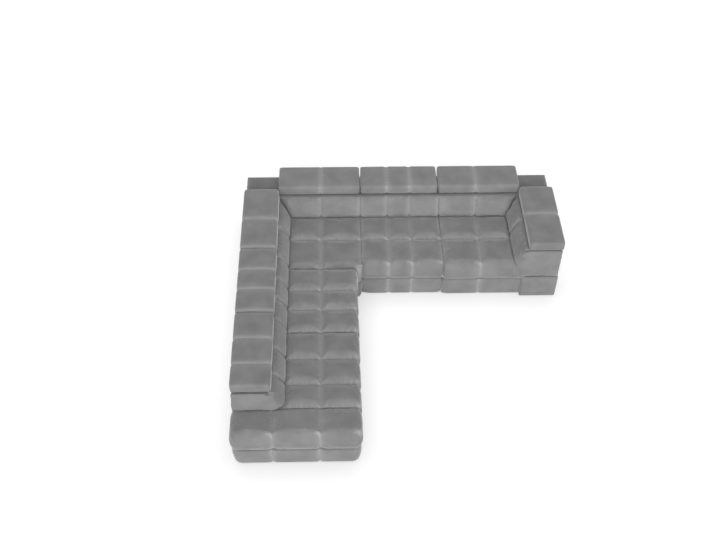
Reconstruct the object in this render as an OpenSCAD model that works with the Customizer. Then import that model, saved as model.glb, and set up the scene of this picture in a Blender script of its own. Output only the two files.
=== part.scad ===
// Modular corner sofa: five tufted modules, seven fold-up headrests on ratchet hinges.
// Millimetres, +Z up, the origin on the floor under the middle of the whole sofa.
// Each run of modules has its own frame: x along the run, the rear face at y = 0, forward is -y.

/* [Layout] */
// How much further forward the square corner module reaches than the runs beside it
corner_over = 60; // [40:5:160]
// Width of the armless middle module
middle_w = 760; // [700:5:900]
// Width of the right module's seat, up to the front of the arm
right_w = 750; // [700:5:900]
// Width of the arm across its padded front
arm_w = 335; // [330:1:345]
// Length of the armless side module
left_w = 765; // [700:5:900]
// Length of the end module's backed seat
end_w = 805; // [740:5:900]
// Length of the backless row that closes the end module
end_row_w = 245; // [200:5:320]
// Depth of the middle, side and end modules, rear face to front
run_depth = 1045; // [980:5:1200]
// How much further forward the right module's seat reaches than the middle one
right_over = 15; // [0:5:40]
// How far the arm's padded front stands ahead of the seat beside it
arm_over = 40; // [20:5:120]
// Gap left on each side of a joint between two modules
joint_gap = 1; // [0.5:0.5:2]

/* [Heights] */
// Height of the feet
foot_h = 16; // [14:1:45]
// How far the covers and the padded bands hang below the frames, to hide the feet
band_drop = 7; // [2:1:12]
// Height of the sewn seam between a seat and the band under it
seam_z = 220; // [200:1:250]
// Height of the seam across the arm's front
arm_seam_z = 275; // [250:1:320]
// Height of the channels between the seat's tufted cells
channel_z = 416; // [390:1:430]
// Rise of a seat cell's crown above the channels
seat_rise = 26; // [10:1:40]
// Height of the top of the backs and the arm under the headrests
back_z = 605; // [580:1:640]
// Open gap between a lowered headrest and the top of its back
headrest_gap = 15; // [13:1:25]
// Thickness of a headrest
headrest_t = 96; // [90:1:110]

/* [Tufting] */
// Channel along the side run, from the run's outer face
side_channel = 724; // [680:1:780]
// Channel across the rear run, from the run's rear face
rear_channel = 730; // [680:1:780]
// First channel of the middle module, from its left edge
middle_channel_1 = 258; // [220:1:290]
// Second channel of the middle module, from its left edge
middle_channel_2 = 478; // [440:1:520]
// Channel of the right module, from its left edge
right_channel = 356; // [320:1:400]
// First channel of the side module, from its front edge
left_channel_1 = 258; // [220:1:290]
// Second channel of the side module, from its front edge
left_channel_2 = 493; // [450:1:530]
// First channel of the end module's backed seat, from its front edge
end_channel_1 = 240; // [210:1:280]
// Second channel of the end module's backed seat, from its front edge
end_channel_2 = 508; // [470:1:550]
// Outer channel of the open end row, from the run's outer face
end_row_channel = 335; // [300:1:400]
// Channel of the arm, from the rear face
arm_channel = 700; // [660:1:740]
// Radius that rounds the edges of the seat cushions
seat_edge_r = 46; // [30:1:60]
// How far a seat's sides are drawn in at a channel
seat_draw = 12; // [4:1:20]
// How far a back cushion's face is drawn in at a channel
back_draw = 14; // [4:1:20]
// How far a headrest is drawn in at a channel
headrest_draw = 6; // [2:1:10]
// How far the lower bands are drawn in at a seam
band_draw = 8; // [2:1:12]
// How far the arm cushion's free front end rounds back
arm_end_draw = 56; // [20:1:70]

/* [Backs] */
// Distance of a back cushion's face from the rear face, at seat height
back_low_d = 422; // [400:1:440]
// Distance of a back cushion's face from the rear face, at its top
back_high_d = 335; // [325:1:350]
// Distance of the back frame's front board from the rear face
back_core_d = 300; // [290:1:305]
// How far a back cushion stands above the cover behind it
cushion_over = 7; // [3:1:8]
// Thickness of the padded cover on the rear, outer and top faces
cover_t = 14; // [10:1:20]
// Radius of a cover's outer top edge
cover_r = 30; // [15:1:45]
// Thickness of the padded bands under the seats and at the arm's front
band_t = 28; // [20:1:32]

/* [Headrests] */
// Depth of the headrests along the rear
rear_headrest_d = 295; // [280:1:298]
// Depth of the headrests along the side
side_headrest_d = 322; // [290:1:325]
// Depth of the headrest on the arm
arm_headrest_d = 310; // [290:1:315]
// Distance of the corner's two headrests from its outer faces
corner_headrest_in = 330; // [328:1:360]
// Distance of the arm's headrest from the rear face
arm_headrest_in = 320; // [318:1:350]
// Gap from the corner's two headrests to the module's edges
corner_headrest_end = 15; // [6:1:40]
// Gap left of the middle headrest
middle_headrest_left = 14; // [6:1:40]
// Gap right of the middle headrest
middle_headrest_right = 35; // [6:1:60]
// Gap left of the right headrest
right_headrest_left = 15; // [6:1:40]
// Gap in front of the side module's headrest
left_headrest_front = 18; // [6:1:60]
// Gap behind the side module's headrest
left_headrest_rear = 35; // [6:1:60]
// Gap in front of the end module's headrest
end_headrest_front = 28; // [6:1:60]
// Gap behind the end module's headrest
end_headrest_rear = 33; // [6:1:60]
// Gap in front of the arm's headrest
arm_headrest_front = 14; // [6:1:40]
// Radius of a headrest's long edges
headrest_r = 28; // [20:1:34]

/* [Ratchet hinges] */
// Distance of each hinge from its headrest's end
hinge_inset = 140; // [110:5:180]
// Angle that a headrest folds up through
fold_angle = 85; // [75:1:88]
// Backward lean of the fixed bracket, from upright
bracket_lean = 42; // [40:1:46]
// Length of the fixed bracket below its pivot
bracket_l = 190; // [150:5:220]
// Width of the brackets' steel bars
bar_w = 20; // [16:1:22]
// Thickness of the brackets' steel bars
bar_t = 4; // [3:0.5:5]
// Radius of the hinge pins
pin_r = 4; // [3:0.5:5]
// Radial clearance of a hinge pin in its bores
pin_fit = 0.05; // [0.02:0.01:0.1]
// Radius of the ratchet's toothed wheel
wheel_r = 17; // [15:1:19]
// Number of teeth on the ratchet's wheel
teeth = 20; // [13:1:28]
// Depth of the ratchet's teeth
tooth_h = 2; // [1:0.5:3]
// Sideways clearance between the ratchet's steel parts
steel_fit = 0.3; // [0.2:0.1:0.6]
// Clearance between a foam pad and the steel in it
foam_fit = 0.3; // [0.2:0.1:0.6]

/* [Frames] */
// Thickness of the base frames' rails
rail_t = 20; // [16:1:28]
// Thickness of the back frames' boards and ribs
board_t = 12; // [9:1:18]
// Distance of a frame from a joint between two modules
frame_in = 8; // [6:1:10]
// Length of the triangular corner blocks' sides
block_l = 95; // [80:5:120]
// Radius of a foot at the floor
foot_r = 22; // [16:1:28]
// Distance of a foot's middle from the frame's faces
foot_in = 42; // [36:1:50]
// Section of the zigzag springs' wire
wire = 4.4; // [3:0.2:4.6]
// Half width of a zigzag spring
spring_half = 24; // [16:1:30]
// Number of zigzag springs under a seat
springs_each = 4; // [3:1:6]
// Thickness of the underside dust covers
dust_t = 1.5; // [1:0.5:2.5]

/* [Hidden] */

// Fabric, foam in fabric, timber, steel, plastic and felt, as they look
FABRIC = "#858585";
TIMBER = "#c9aa7c";
STEEL = "#9a9da0";
PLASTIC = "#2b2b2b";
FELT = "#3a3a3c";

// Depths of the corner, of the right module's seat and of the arm, from the rear face
corner_size = run_depth + corner_over;
right_depth = run_depth + right_over;
arm_depth = right_depth + arm_over;

// Where each module starts and ends along its run
middle_x = corner_size;
right_x = middle_x + middle_w;
arm_x = right_x + right_w;
overall_w = arm_x + arm_w;
end_x = end_row_w;
left_x = end_x + end_w;
side_corner_x = left_x + left_w;
overall_d = side_corner_x + corner_size;

// Shared levels and faces
small_fit = 0.4;
base_top_z = seam_z - wire - small_fit;
frame_z = foot_h;
band_z = foot_h - band_drop;
cover_z = foot_h - band_drop;
frame_rear = cover_t + small_fit;
frame_top_z = back_z - cover_t - small_fit;
cushion_top_z = back_z + cushion_over;
pad_z = back_z + headrest_gap;
pivot_z = pad_z + headrest_t / 2;
wheel_gap_r = wheel_r + 2 * steel_fit;
deck_t = board_t;
spring_lap = 8;
deck_d = back_core_d + small_fit + spring_lap;
free_end = (arm_end_draw - back_draw) / back_draw;
spring_pitch = 70;
slot_fit = 1;
pin_head_t = 1.5;
pin_head_r = 1.6 * pin_r;

// One row for each headrest: the depth, its two ends and its inner channels along the run
CORNER_REAR_REST = [rear_headrest_d, corner_headrest_in, middle_x - corner_headrest_end, [side_channel]];
MIDDLE_REST = [rear_headrest_d, middle_x + middle_headrest_left, right_x - middle_headrest_right,
    [middle_x + middle_channel_1, middle_x + middle_channel_2]];
RIGHT_REST = [rear_headrest_d, right_x + right_headrest_left, overall_w - arm_headrest_in,
    [right_x + right_channel]];
CORNER_SIDE_REST = [side_headrest_d, side_corner_x + corner_headrest_end, overall_d - corner_headrest_in,
    [overall_d - rear_channel]];
LEFT_REST = [side_headrest_d, left_x + left_headrest_front, side_corner_x - left_headrest_rear,
    [left_x + left_channel_1, left_x + left_channel_2]];
END_REST = [side_headrest_d, end_x + end_headrest_front, left_x - end_headrest_rear,
    [end_x + end_channel_1, end_x + end_channel_2]];
ARM_REST = [arm_headrest_d, arm_headrest_in, arm_depth - arm_headrest_front, [arm_channel]];

// The three runs: along the rear, along the left side from its front end, and along the arm from its rear end
module in_rear_run() {
    translate([-overall_w / 2, overall_d / 2, 0]) children();
}

module in_side_run() {
    translate([-overall_w / 2, -overall_d / 2, 0]) rotate([0, 0, 90]) children();
}

module in_arm_run() {
    translate([overall_w / 2, overall_d / 2, 0]) rotate([0, 0, -90]) children();
}

// A straight board between two places along the run, two distances from the rear face and two heights
module board(a, b, d0, d1, z0, z1) {
    translate([a, -d1, z0]) cube([b - a, d1 - d0, z1 - z0]);
}

// A section drawn as [-distance from the rear face, height], carried along the run from a to b
module along_run(a, b) {
    translate([a, 0, 0]) rotate([90, 0, 90]) linear_extrude(b - a) children();
}

// Fullness of a tufted cell, 0 at its channels and 1 over its middle
function crown(t) = 1 - pow(abs(2 * t - 1), 4);
SEAT_STOPS = [0, 0.1, 0.35, 0.65, 0.9];
LONG_STOPS = [0, 0.08, 0.3, 0.7, 0.92];

// A closed skin over a row of rings with equally many points; a fan closes each end
module loft(rings) {
    n = len(rings[0]);
    m = len(rings);
    ring_points = [for (ring = rings) each ring];
    first = [for (i = [0 : n - 1]) 1 / n] * rings[0];
    last = [for (i = [0 : n - 1]) 1 / n] * rings[m - 1];
    walls = [for (k = [0 : m - 2]) for (i = [0 : n - 1])
        let (a = k * n + i, b = k * n + (i + 1) % n)
        each [[a, a + n, b + n], [a, b + n, b]]];
    near_cap = [for (i = [0 : n - 1]) [m * n, i, (i + 1) % n]];
    far_cap = [for (i = [0 : n - 1]) [m * n + 1, (m - 1) * n + (i + 1) % n, (m - 1) * n + i]];
    polyhedron(concat(ring_points, [first, last]), concat(walls, near_cap, far_cap));
}

// Stops along a row of cells as [left edge, right edge, share of the way, fullness];
// an edge is [place, slope], where the slope is 1 or -1 on an end mitred at 45 degrees
function row_stops(edges, free_a, free_b) = concat(
    [for (i = [0 : len(edges) - 2]) for (t = LONG_STOPS)
        [edges[i], edges[i + 1], t, crown(t) - end_fall(i == 0, 1 - t, free_a)
            - end_fall(i == len(edges) - 2, t, free_b)]],
    [[edges[len(edges) - 2], edges[len(edges) - 1], 1, -free_b]]);
function end_fall(is_end, t, amount) = is_end && t > 0.8 ? amount * pow((t - 0.8) / 0.2, 2) : 0;
function stop_x(s, d) = let (a = s[0][0] + s[0][1] * d, b = s[1][0] + s[1][1] * d) a + s[2] * (b - a);

// Section of a back cushion as [distance from the rear face, height, share drawn in at a channel]
function back_section() = let (run = back_low_d - back_high_d, z0 = channel_z + small_fit)
    [[back_low_d - 16, z0, 1], [back_core_d, z0, 0], [back_core_d, cushion_top_z - 4, 0],
    [back_core_d + 12, cushion_top_z, 0.2], [back_high_d - 8, cushion_top_z - 4, 0.45],
    [back_high_d + 0.1 * run, cushion_top_z - 24, 1],
    [back_high_d + 0.62 * run, 0.55 * cushion_top_z + 0.45 * z0, 1],
    [back_low_d, z0 + 34, 1]];

// A back cushion between two edges of its run, with its inner channels
module back_cushion(a, b, cuts, free_a = 0, free_b = 0) {
    edges = concat([a], [for (c = cuts) [c, 0]], [b]);
    loft([for (s = row_stops(edges, free_a, free_b))
        [for (p = back_section())
            let (d = p[0] - p[2] * back_draw * (1 - s[3]))
            [stop_x(s, d), -d, p[1]]]]);
}

// Ring of a headrest, drawn in all round by an inset: bottom front, bottom rear, top rear, top front
function headrest_ring(x, depth, inset) = let (r = headrest_r - inset, d0 = inset, d1 = depth - inset,
    z0 = pad_z + inset, z1 = pad_z + headrest_t - inset)
    [for (corner = [[d1 - r, z0 + r, 180], [d0 + r, z0 + r, 270], [d0 + r, z1 - r, 0], [d1 - r, z1 - r, 90]])
        for (turn = [0, 45, 90])
            [x, -corner[0] + r * cos(corner[2] + turn), corner[1] + r * sin(corner[2] + turn)]];

// A headrest's foam body before its pockets are cut
module headrest_body(rest) {
    edges = concat([[rest[1], 0]], [for (c = rest[3]) [c, 0]], [[rest[2], 0]]);
    loft([for (s = row_stops(edges, 0.9, 0.9))
        headrest_ring(stop_x(s, 0), rest[0], headrest_draw * (1 - s[3]))]);
}

// Where a headrest's two hinges stand along the run
function hinges(rest) = [rest[1] + hinge_inset, rest[2] - hinge_inset];
function pivot_d(rest) = rest[0] - headrest_t / 2;
// How far a headrest's steel frame reaches behind its pivot
function leg_l(rest) = pivot_d(rest) - headrest_t / 2;

// Children drawn about a pivot, in a plane across the run: 2D x is rearward, 2D y is up
module at_pivot(rest, x0, x1) {
    translate([0, -pivot_d(rest), pivot_z]) along_run(x0, x1) children();
}

// A bar's outline from the pivot, turned from straight down towards the rear
module bar_outline(angle, length, width) {
    rotate(angle - 90) translate([0, -width / 2]) square([length, width]);
}

// Room that the fixed bracket sweeps in a headrest as it folds up, out to a reach past the foam
module swept_bar(reach) {
    first = bracket_lean;
    last = bracket_lean - fold_angle;
    middle = (first + last) / 2;
    peak = reach / pow(cos(fold_angle / 4), 2);
    for (angle = [first, last]) bar_outline(angle, reach, bar_w + 2 * slot_fit);
    polygon([[0, 0], reach * [sin(first), -cos(first)], peak * [sin(middle), -cos(middle)],
        reach * [sin(last), -cos(last)]]);
}

// Foam pad of a headrest, pocketed for the ratchets and for the steel frame
module headrest_pad(rest) {
    color(FABRIC) difference() {
        headrest_body(rest);
        for (h = hinges(rest)) {
            at_pivot(rest, h - bar_t, h + 3 * bar_t + 2 * steel_fit)
                circle(r = wheel_r + 3 * bar_t, $fn = 48);
            at_pivot(rest, h - bar_t, h + bar_t) swept_bar(headrest_t);
            translate([0, -pivot_d(rest), pivot_z])
                board(h + bar_t / 2 + steel_fit - foam_fit, h + 1.5 * bar_t + steel_fit + foam_fit,
                    -leg_l(rest) - foam_fit, 0, -bar_w / 2 - foam_fit, bar_w / 2 + foam_fit);
        }
        for (d = cross_bars(rest)) cross_bar(rest, d, foam_fit);
    }
}

// Distances of the two cross bars behind the pivot
function cross_bars(rest) = [leg_l(rest) * 0.4, leg_l(rest) - 2 * bar_w];

// A flat cross bar between a headrest's two legs, grown by a clearance
module cross_bar(rest, d, fit) {
    near = hinges(rest)[0] + bar_t + steel_fit;
    far = hinges(rest)[1] + bar_t + steel_fit;
    translate([0, -pivot_d(rest), pivot_z])
        board(near - fit, far + fit, -d - bar_w - fit, -d + fit, -bar_t / 2 - fit, bar_t / 2 + fit);
}

// Moving steel frame of a headrest: two legs with their pawls, joined by two flat bars
module headrest_frame(rest) {
    color(STEEL) difference() {
        union() {
            for (h = hinges(rest)) {
                at_pivot(rest, h + bar_t / 2 + steel_fit, h + 1.5 * bar_t + steel_fit) union() {
                    circle(r = wheel_r + 1.5 * bar_t, $fn = 48);
                    translate([0, -bar_w / 2]) square([leg_l(rest), bar_w]);
                }
                at_pivot(rest, h - bar_t / 2, h + bar_t / 2 + steel_fit)
                    translate([wheel_gap_r, -tooth_h]) square([bar_t, 2 * tooth_h]);
            }
            for (d = cross_bars(rest)) cross_bar(rest, d, 0);
        }
        for (h = hinges(rest))
            at_pivot(rest, h, h + 2 * bar_t) circle(r = pin_r + pin_fit, $fn = 48);
    }
}

// Outline of the ratchet's wheel: each tooth climbs evenly and drops straight
function wheel_points() = [for (i = [0 : teeth - 1]) each [
    wheel_r * [cos(360 * i / teeth), sin(360 * i / teeth)],
    (wheel_r - tooth_h) * [cos(360 * i / teeth), sin(360 * i / teeth)]]];

// Fixed brackets of one headrest, bolted to ribs in the back
module brackets(rest) {
    for (h = hinges(rest)) at_pivot(rest, h - bar_t / 2, h + bar_t / 2) difference() {
        union() {
            polygon(wheel_points());
            bar_outline(bracket_lean, bracket_l, bar_w);
        }
        circle(r = pin_r + pin_fit, $fn = 48);
    }
}

// Headed pins of one headrest, from outside the fixed bar to outside the moving leg
module pins(rest) {
    outer = bar_t / 2 + steel_fit;
    inner = 1.5 * bar_t + 2 * steel_fit;
    for (h = hinges(rest)) {
        at_pivot(rest, h - outer, h + inner) circle(r = pin_r, $fn = 48);
        at_pivot(rest, h - outer - pin_head_t, h - outer) circle(r = pin_head_r, $fn = 48);
        at_pivot(rest, h + inner, h + inner + pin_head_t) circle(r = pin_head_r, $fn = 48);
    }
}

// Slots through a back's top for the leaning brackets
module bracket_slots(rest) {
    for (h = hinges(rest)) at_pivot(rest, h - bar_t, h + bar_t)
        bar_outline(bracket_lean, bracket_l, bar_w + 2 * bar_t);
}

// Plan of a back between its two ends, each square (0) or mitred at 45 degrees (1)
module back_plan(a, b, mitre_a, mitre_b, depth) {
    translate([0, 0, cover_z - 1]) linear_extrude(2 * back_z) polygon([
        [a, 1], [b, 1], [b, 0], [b - mitre_b * depth, -depth], [a + mitre_a * depth, -depth], [a, 0]]);
}

// Padded cover: the rear face and the top of a back in one piece, its outer edge rounded
module back_cover(a, b, mitre_a, mitre_b, rests) {
    color(FABRIC) difference() {
        intersection() {
            along_run(a, b) difference() {
                union() {
                    translate([-back_core_d + small_fit, cover_z])
                        square([back_core_d - small_fit - cover_r, back_z - cover_z]);
                    translate([-cover_r - 1, cover_z]) square([cover_r + 1, back_z - cover_z - cover_r]);
                    translate([-cover_r, back_z - cover_r]) circle(r = cover_r, $fn = 64);
                }
                translate([-back_core_d, cover_z - 1])
                    square([back_core_d - cover_t, back_z - cover_t - cover_z + 1]);
            }
            back_plan(a, b, mitre_a, mitre_b, back_core_d);
        }
        for (rest = rests) bracket_slots(rest);
    }
}

// Timber back frame: rear board, front board, top board, and ribs at its ends and beside each bracket
module back_frame(a, b, mitre_a, mitre_b, rests) {
    front = back_core_d - small_fit;
    rib_top = frame_top_z - board_t;
    bolt_ribs = [for (rest = rests) for (h = hinges(rest)) h + bar_t / 2];
    end_ribs = concat(mitre_a == 0 ? [a] : [], mitre_b == 0 ? [b - board_t] : []);
    color(TIMBER) difference() {
        intersection() {
            union() {
                board(a, b, frame_rear, frame_rear + board_t, base_top_z, rib_top);
                board(a, b, front - board_t, front, base_top_z, rib_top);
                board(a, b, frame_rear, front, rib_top, frame_top_z);
                for (x = concat(bolt_ribs, end_ribs))
                    board(x, x + board_t, frame_rear, front, base_top_z, rib_top);
            }
            back_plan(a, b, mitre_a, mitre_b, back_core_d);
        }
        for (rest = rests) bracket_slots_clear(rest);
    }
}

// The same slots, but open only on the free side of the rib that a bracket is bolted to
module bracket_slots_clear(rest) {
    for (h = hinges(rest)) at_pivot(rest, h - bar_t, h + bar_t / 2)
        bar_outline(bracket_lean, bracket_l + bar_t, bar_w + 2 * bar_t);
}

// Grid stops across a seat as [place, fullness on the top, fullness on the sides];
// a cell is [from, to, 1 for a tufted cell or 0 for the flat margin under a back]
function grid_stops(cells) = let (n = len(cells), a = cells[0][0] + seat_edge_r,
    b = cells[n - 1][1] - seat_edge_r)
    concat(
        [for (i = [0 : n - 1]) for (t = cells[i][2] > 0 ? SEAT_STOPS : [0])
            let (from = i == 0 ? a : cells[i][0], to = i == n - 1 ? b : cells[i][1])
            [from + t * (to - from), i == 0 && t == 0 ? cells[i][2] / 2 : cells[i][2] * crown(t),
                cells[i][2] * crown(t)]],
        [[b, cells[n - 1][2] / 2, 0]]);

// Rings down a seat's side as [share of the edge radius outward, share of it downward or 0 for the
// seam, share drawn in at a channel], and how far its corners reach along each side's outward way
SEAT_SIDES = [[0.7, 0.3, 0.3], [1, 1, 1], [1, 0, 1]];
SEAT_CORNER = 0.86;

// A tufted cushion: a crowned grid on top, sides that bulge in each cell, a flat underside on the seam
module tufted_seat(x_cells, y_cells) {
    xs = grid_stops(x_cells);
    ys = grid_stops(y_cells);
    nx = len(xs);
    ny = len(ys);
    top = [for (y = ys) for (x = xs) [x[0], y[0], channel_z + seat_rise * x[1] * y[1]]];
    rim = concat([for (i = [0 : nx - 2]) [i, xs[i], [0, -1]]],
        [for (j = [0 : ny - 2]) [nx - 1 + j * nx, ys[j], [1, 0]]],
        [for (i = [nx - 1 : -1 : 1]) [(ny - 1) * nx + i, xs[i], [0, 1]]],
        [for (j = [ny - 1 : -1 : 1]) [j * nx, ys[j], [-1, 0]]]);
    n = len(rim);
    side_rings = [for (ring = SEAT_SIDES) for (k = [0 : n - 1])
        let (p = top[rim[k][0]], is_corner = rim[k][2] != rim[(k + n - 1) % n][2],
            way = is_corner ? SEAT_CORNER * (rim[k][2] + rim[(k + n - 1) % n][2]) : rim[k][2],
            out = ring[0] * seat_edge_r - ring[2] * seat_draw * (is_corner ? 0 : 1 - rim[k][1][2]),
            z = ring[1] > 0 ? p[2] - ring[1] * seat_edge_r : seam_z)
        [p[0] + way[0] * out, p[1] + way[1] * out, z]];
    middle = [(xs[0][0] + xs[nx - 1][0]) / 2, (ys[0][0] + ys[ny - 1][0]) / 2, seam_z];
    top_faces = [for (j = [0 : ny - 2]) for (i = [0 : nx - 2])
        let (a = j * nx + i)
        each [[a, a + nx + 1, a + 1], [a, a + nx, a + nx + 1]]];
    base = nx * ny;
    first_band = [for (k = [0 : n - 1])
        let (a = rim[k][0], b = rim[(k + 1) % n][0], c = base + (k + 1) % n, d = base + k)
        each [[a, b, c], [a, c, d]]];
    bands = [for (r = [0, 1]) for (k = [0 : n - 1])
        let (a = base + r * n + k, b = base + r * n + (k + 1) % n)
        each [[a, b, b + n], [a, b + n, a + n]]];
    under = [for (k = [0 : n - 1]) [base + 3 * n, base + 2 * n + k, base + 2 * n + (k + 1) % n]];
    color(FABRIC) polyhedron(concat(top, side_rings, [middle]), concat(top_faces, first_band, bands, under));
}

// Section of a padded band as [share of its thickness, share of its height, share drawn in at a seam]
BAND_SECTION = [[0.4, 0, 0.3], [0, 0, 0], [0, 1, 0], [0.45, 1, 0.3], [0.92, 0.93, 1], [1, 0.5, 1],
    [0.92, 0.1, 1]];
// Reach and fullness of a band's square corner
BAND_CORNER = [0.88, 0.3];

// A padded band carried along a path of [inner point, outward direction, fullness]
module padded_band(path, z0, z1) {
    color(FABRIC) loft([for (s = path)
        [for (p = BAND_SECTION)
            let (out = p[0] * band_t - p[2] * band_draw * (1 - s[2]) * p[0])
            [s[0][0] + s[1][0] * out, s[0][1] + s[1][1] * out, z0 + p[1] * (z1 - z0)]]]);
}

// A straight stretch of band from p to q, outward to its right, with a seam at each share in cuts
function band_stretch(p, q, cuts, last = true) = let (ends = concat([0], cuts, [1]),
    way = (q - p) / norm(q - p), out = [way[1], -way[0]])
    concat([for (i = [0 : len(ends) - 2]) for (t = LONG_STOPS)
        [p + (ends[i] + t * (ends[i + 1] - ends[i])) * (q - p), out, crown(t)]],
        last ? [[q, out, 0]] : []);

// The stop on a square corner of a band
function band_corner(p, out_a, out_b) = [[p, BAND_CORNER[0] * (out_a + out_b), BAND_CORNER[1]]];

// Seams of a straight band as shares, from places along the run
function shares(a, b, cuts) = [for (c = cuts) (c - a) / (b - a)];

// A straight band along a run, in front of a frame
module run_band(a, b, cuts, depth, z0, z1) {
    inner = -depth + band_t;
    padded_band(band_stretch([a, inner], [b, inner], shares(a, b, cuts)), z0, z1);
}

// Timber box: four rails, cross rails, corner blocks and a deck for the back to stand on
module box_frame(a, b, d0, d1, deck_to) {
    middle = (a + b) / 2;
    board(a, b, d0, d0 + rail_t, frame_z, base_top_z);
    board(a, b, d1 - rail_t, d1, frame_z, base_top_z);
    board(a, a + rail_t, d0, d1, frame_z, base_top_z);
    board(b - rail_t, b, d0, d1, frame_z, base_top_z);
    board(middle - rail_t / 2, middle + rail_t / 2, d0, d1, frame_z, base_top_z - 3 * wire);
    board(a, b, d0, deck_to, base_top_z - deck_t, base_top_z);
    for (corner = [[a, -d0, 0], [b, -d0, -90], [b, -d1, 180], [a, -d1, 90]])
        translate([corner[0], corner[1], frame_z]) rotate([0, 0, corner[2]])
            linear_extrude(block_l) polygon([[0, 0], [block_l, 0], [0, -block_l]]);
}

// Places of the feet under a frame box
function foot_places(box) = [for (x = [box[0] + foot_in, box[1] - foot_in])
    for (d = [box[2] + foot_in, box[3] - foot_in]) [x, -d]];

// Frame boxes of the modules: [from, to, nearest and furthest distance from the rear face, deck's edge]
CORNER_BOX = [frame_rear, corner_size - band_t, frame_rear, corner_size - band_t, deck_d];
MIDDLE_BOX = [middle_x + frame_in, right_x - frame_in, frame_rear, run_depth - band_t, deck_d];
RIGHT_BOX = [right_x + frame_in, overall_w - frame_rear, frame_rear, right_depth - band_t, deck_d];
LEFT_BOX = [left_x + frame_in, side_corner_x - frame_in, frame_rear, run_depth - band_t, deck_d];
END_BOX = [end_x, left_x - frame_in, frame_rear, run_depth - band_t, deck_d];
ROW_BOX = [band_t, end_x, band_t, run_depth - band_t, run_depth - band_t];

module frame_of(box) {
    box_frame(box[0], box[1], box[2], box[3], box[4]);
}

// A turned plastic foot, wider at the floor
module foot() {
    rotate_extrude($fn = 48)
        polygon([[0, 0], [foot_r - 2, 0], [foot_r, 2], [foot_r - 3, foot_h], [0, foot_h]]);
}

// A dust cover under a frame box, holed for the feet
module dust_cover(box) {
    difference() {
        board(box[0], box[1], box[2], box[3], foot_h - dust_t, foot_h);
        for (p = foot_places(box)) translate([p[0], p[1], 0]) cylinder(r = foot_r, h = 2 * foot_h, $fn = 48);
    }
}

// A zigzag spring laid from the deck to the front rail
module zigzag(x, d0, d1) {
    waves = round((d1 - d0) / spring_pitch);
    steps = 4 * waves;
    half = spring_half - wire / 2;
    line = [for (i = [0 : steps]) [half * sign(sin(90 * i + 45)), -d0 - (d1 - d0) * i / steps]];
    sides = [for (i = [0 : steps])
        let (way = line[min(steps, i + 1)] - line[max(0, i - 1)])
        wire / 2 * [way[1], -way[0]] / norm(way)];
    translate([x, 0, base_top_z]) linear_extrude(wire)
        polygon(concat([for (i = [0 : steps]) line[i] + sides[i]],
            [for (i = [steps : -1 : 0]) line[i] - sides[i]]));
}

module springs_of(box, a, b) {
    step = (b - a) / springs_each;
    for (i = [0 : springs_each - 1])
        zigzag(a + (i + 0.5) * step, back_core_d + small_fit, box[3] - spring_lap);
}

// A flat rectangle from a to b, centred across by its width
module across(a, b, width) {
    translate([a, -width / 2]) square([b - a, width]);
}

// One pair of drop-in connector plates across the gap between two frames
module connector(x, d, z, gap) {
    plate = 3;
    slot = 5;
    lift = 60;
    plate_w = 44;
    slot_w = 28;
    neck_w = 16;
    play = 0.5;
    side_play = 2;
    translate([x, -d, z]) linear_extrude(lift) {
        difference() {
            across(0, gap / 2 + 2, plate_w);
            across(plate, plate + slot, slot_w);
            across(plate, plate + gap, neck_w);
        }
        across(plate + play, plate + slot - play, slot_w - 2 * side_play);
        across(plate + play, gap, neck_w - 2 * side_play);
        across(gap - plate, gap, plate_w);
    }
}

module connectors_at(x, gap, depth) {
    for (d = [0.3 * depth, 0.8 * depth]) connector(x, d, base_top_z / 2, gap);
}

// Corner module
module corner_base_frame() {
    joined = run_depth - band_t;
    color(TIMBER) in_rear_run() union() {
        frame_of(CORNER_BOX);
        board(CORNER_BOX[1], corner_size - frame_in, frame_rear, joined, frame_z, base_top_z);
        board(frame_rear, joined, CORNER_BOX[3], corner_size - frame_in, frame_z, base_top_z);
        board(frame_rear, deck_d, frame_rear, CORNER_BOX[3], base_top_z - deck_t, base_top_z);
    }
}

module corner_base_band() {
    inner = corner_size - band_t;
    in_rear_run() padded_band(concat(
        band_stretch([run_depth + joint_gap, -inner], [inner, -inner], [], false),
        band_corner([inner, -inner], [0, -1], [1, 0]),
        [for (s = band_stretch([inner, -inner], [inner, -run_depth - joint_gap], []))
            if (s[0][1] > -inner + 1) s]),
        band_z, seam_z - small_fit);
}

module corner_seat_cushion() {
    far = corner_size - joint_gap;
    in_rear_run() tufted_seat(
        [[back_core_d, back_low_d, 0], [back_low_d, side_channel, 1], [side_channel, far, 1]],
        [[-far, -rear_channel, 1], [-rear_channel, -back_low_d, 1], [-back_low_d, -back_core_d, 0]]);
}

module corner_rear_back_frame() {
    in_rear_run() back_frame(joint_gap, corner_size - frame_in, 1, 0, [CORNER_REAR_REST]);
}

module corner_rear_back_cushion() {
    color(FABRIC) in_rear_run()
        back_cushion([2 * joint_gap, 1], [corner_size - joint_gap, 0], [side_channel]);
}

module corner_rear_back_cover() {
    in_rear_run() back_cover(joint_gap, corner_size - joint_gap, 1, 0, [CORNER_REAR_REST]);
}

module corner_side_back_frame() {
    in_side_run() back_frame(side_corner_x + frame_in, overall_d - joint_gap, 0, 1, [CORNER_SIDE_REST]);
}

module corner_side_back_cushion() {
    color(FABRIC) in_side_run() back_cushion([side_corner_x + joint_gap, 0], [overall_d - 2 * joint_gap, -1],
        [overall_d - rear_channel]);
}

module corner_side_back_cover() {
    in_side_run() back_cover(side_corner_x + joint_gap, overall_d - joint_gap, 0, 1, [CORNER_SIDE_REST]);
}

module corner_rear_headrest_pad() {
    in_rear_run() headrest_pad(CORNER_REAR_REST);
}

module corner_rear_headrest_frame() {
    in_rear_run() headrest_frame(CORNER_REAR_REST);
}

module corner_side_headrest_pad() {
    in_side_run() headrest_pad(CORNER_SIDE_REST);
}

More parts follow.
